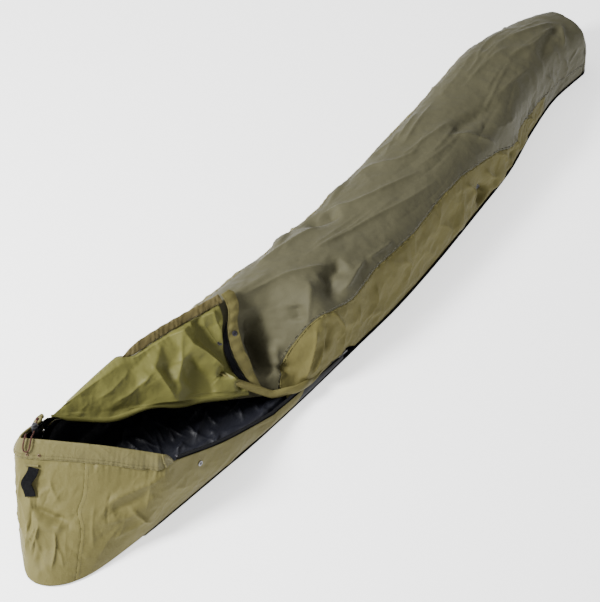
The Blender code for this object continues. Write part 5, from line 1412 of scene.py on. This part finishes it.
def zips():
    """The wall's half, the closed stretch by the side strip, and the flap's half."""
    rows = np.linspace(0.03, ROW_ZIP_TOP, 220)
    outs = ring_out(rows)
    grid = np.stack([wall_edge(rows, h) + outs * 0.0005 for h in np.linspace(-0.006, 0.0100, 8)], 1)
    grid = grid + outs[:, None] * (0.0004 * np.sin(np.linspace(0, 60, len(rows))))[:, None, None]
    coil_rows = np.linspace(0.03, ROW_ZIP_TOP - 0.05, 220)
    zip_half("wall", "sack", grid, outs[:, None], wall_edge(coil_rows, 0.0122), UP, ring_out(coil_rows))

    rows = np.linspace(0.06, 1.12, 60)
    side = wall_edge(rows, 0.0) - ring_out(rows) * 0.0080
    low, high = 0.0138, 0.0300 - 0.0110 * (1 - smooth(rows / 0.45))
    grid = side[:, None] + UP * (low + (high - low)[:, None] *
                                 np.linspace(0, 1, 8))[..., None] + (0, 0.0005, 0)
    zip_half("side", "sack", grid, (0, 1, 0), side + (0, 0, 0.0118), -UP, ring_out(rows))

    shares = np.linspace(0.06, 0.72, 140)
    narrow = 0.0134 * smooth((shares - 0.56) / 0.16)[:, None]
    across = np.minimum(np.linspace(-0.0272, -0.0138, 8) + narrow, -0.0138 + 0.0004 * np.arange(8))
    zip_half("flap", "flap", zip_edge(shares[:, None], across, -0.0005), FOLD_UP,
             zip_edge(shares, -0.0116, -0.001),
             ZIP_OUT, FOLD_UP)


zips()


def tab():
    """Short webbing loop end, kinked half way as it hangs from its slit."""
    row, length, half, thick = 8.96, 0.072, 0.013, 0.0024
    high, low = ring_wall(row, 0.93), ring_wall(row, 0.60)
    down = unit(low - high)
    across = unit(ring_wall(row + 0.1, 0.93) - ring_wall(row - 0.1, 0.93))
    out = facing(unit(np.cross(across, down)), ring_out(row)[0])
    across = np.cross(down, out)
    s = np.linspace(0, 1, 46)[:, None]
    sideways = 0.013 * bell((s - 0.55) / 0.30) - 0.006 * (1 - s)
    lift = 0.0060 + 0.0075 * bell((s - 0.52) / 0.20)
    middle = high + down * s * length * 0.985 + out * lift + across * sideways
    tangent = unit(np.gradient(middle, axis=0))
    outs = facing(unit(np.cross(across, tangent)), out)
    grid = middle[:, None] + np.cross(tangent, outs)[:, None] * (np.linspace(-1, 1, 14) * half)[None, :, None]
    normals = np.broadcast_to(outs[:, None], grid.shape)
    item = cloth_sheet("tab_strap", grid, thick, [webbing, webbing], normals)
    link(fix_normals(item), "tab", "black_webbing", ["webbing_tab"])


tab()

# ---------------------------------------------------------------- CAD pieces that stay

for finish, node_names in (
        (cord_brown, ("drawcord_knot",)), (khaki_hem, ("tab_slit_welt",)),
        (plastic, ("cord_lock_barrel", "cord_lock_plunger", "zip_slider", "zip_slider_bridge", "zip_pull")),
        (metal, ("cord_lock_spring", "wall_snap_ring")), (eyelet, ("tab_eyelet_near", "tab_eyelet_far")),
        (snap_black, ("zip_end_stop", "zip_top_stop", "wall_snap_cap", "flap_snap", "storm_flap_snap"))):
    for node_name in node_names:
        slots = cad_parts[node_name].data.materials
        if slots:
            slots[0] = finish
        else:
            slots.append(finish)


# ---------------------------------------------------------------- stage and light

def stage():
    size = 14.0
    mesh = bpy.data.meshes.new("ground")
    mesh.from_pydata([(-size, -size, 0), (size, -size, 0), (size, size, 0), (-size, size, 0)], [],
                     [(0, 1, 2, 3)])
    pale = Shader("pale_floor", (0.92, 0.92, 0.92), 0.9, Emission_Color=(1, 1, 1, 1), Emission_Strength=1.35)
    mesh.materials.append(pale.material)
    show(bpy.data.objects.new("ground", mesh))
    world = bpy.data.worlds.new("studio")
    world.use_nodes = True
    background = world.node_tree.nodes["Background"]
    background.inputs["Color"].default_value = (1.0, 1.0, 1.0, 1)
    background.inputs["Strength"].default_value = 0.48
    bpy.context.scene.world = world
    for name, place, power, wide in (("key", (-3.0, 1.5, 2.7), 450, 1.1), ("top", (0.5, 1.5, 3.6), 60, 3.0)):
        data = bpy.data.lights.new(name, "AREA")
        data.energy, data.size = power, wide
        lamp = show(bpy.data.objects.new(name, data))
        lamp.location = place
        lamp.rotation_euler = (Vector(place) - Vector((-0.3, 0, 0.1))).to_track_quat("Z", "Y").to_euler()


stage()
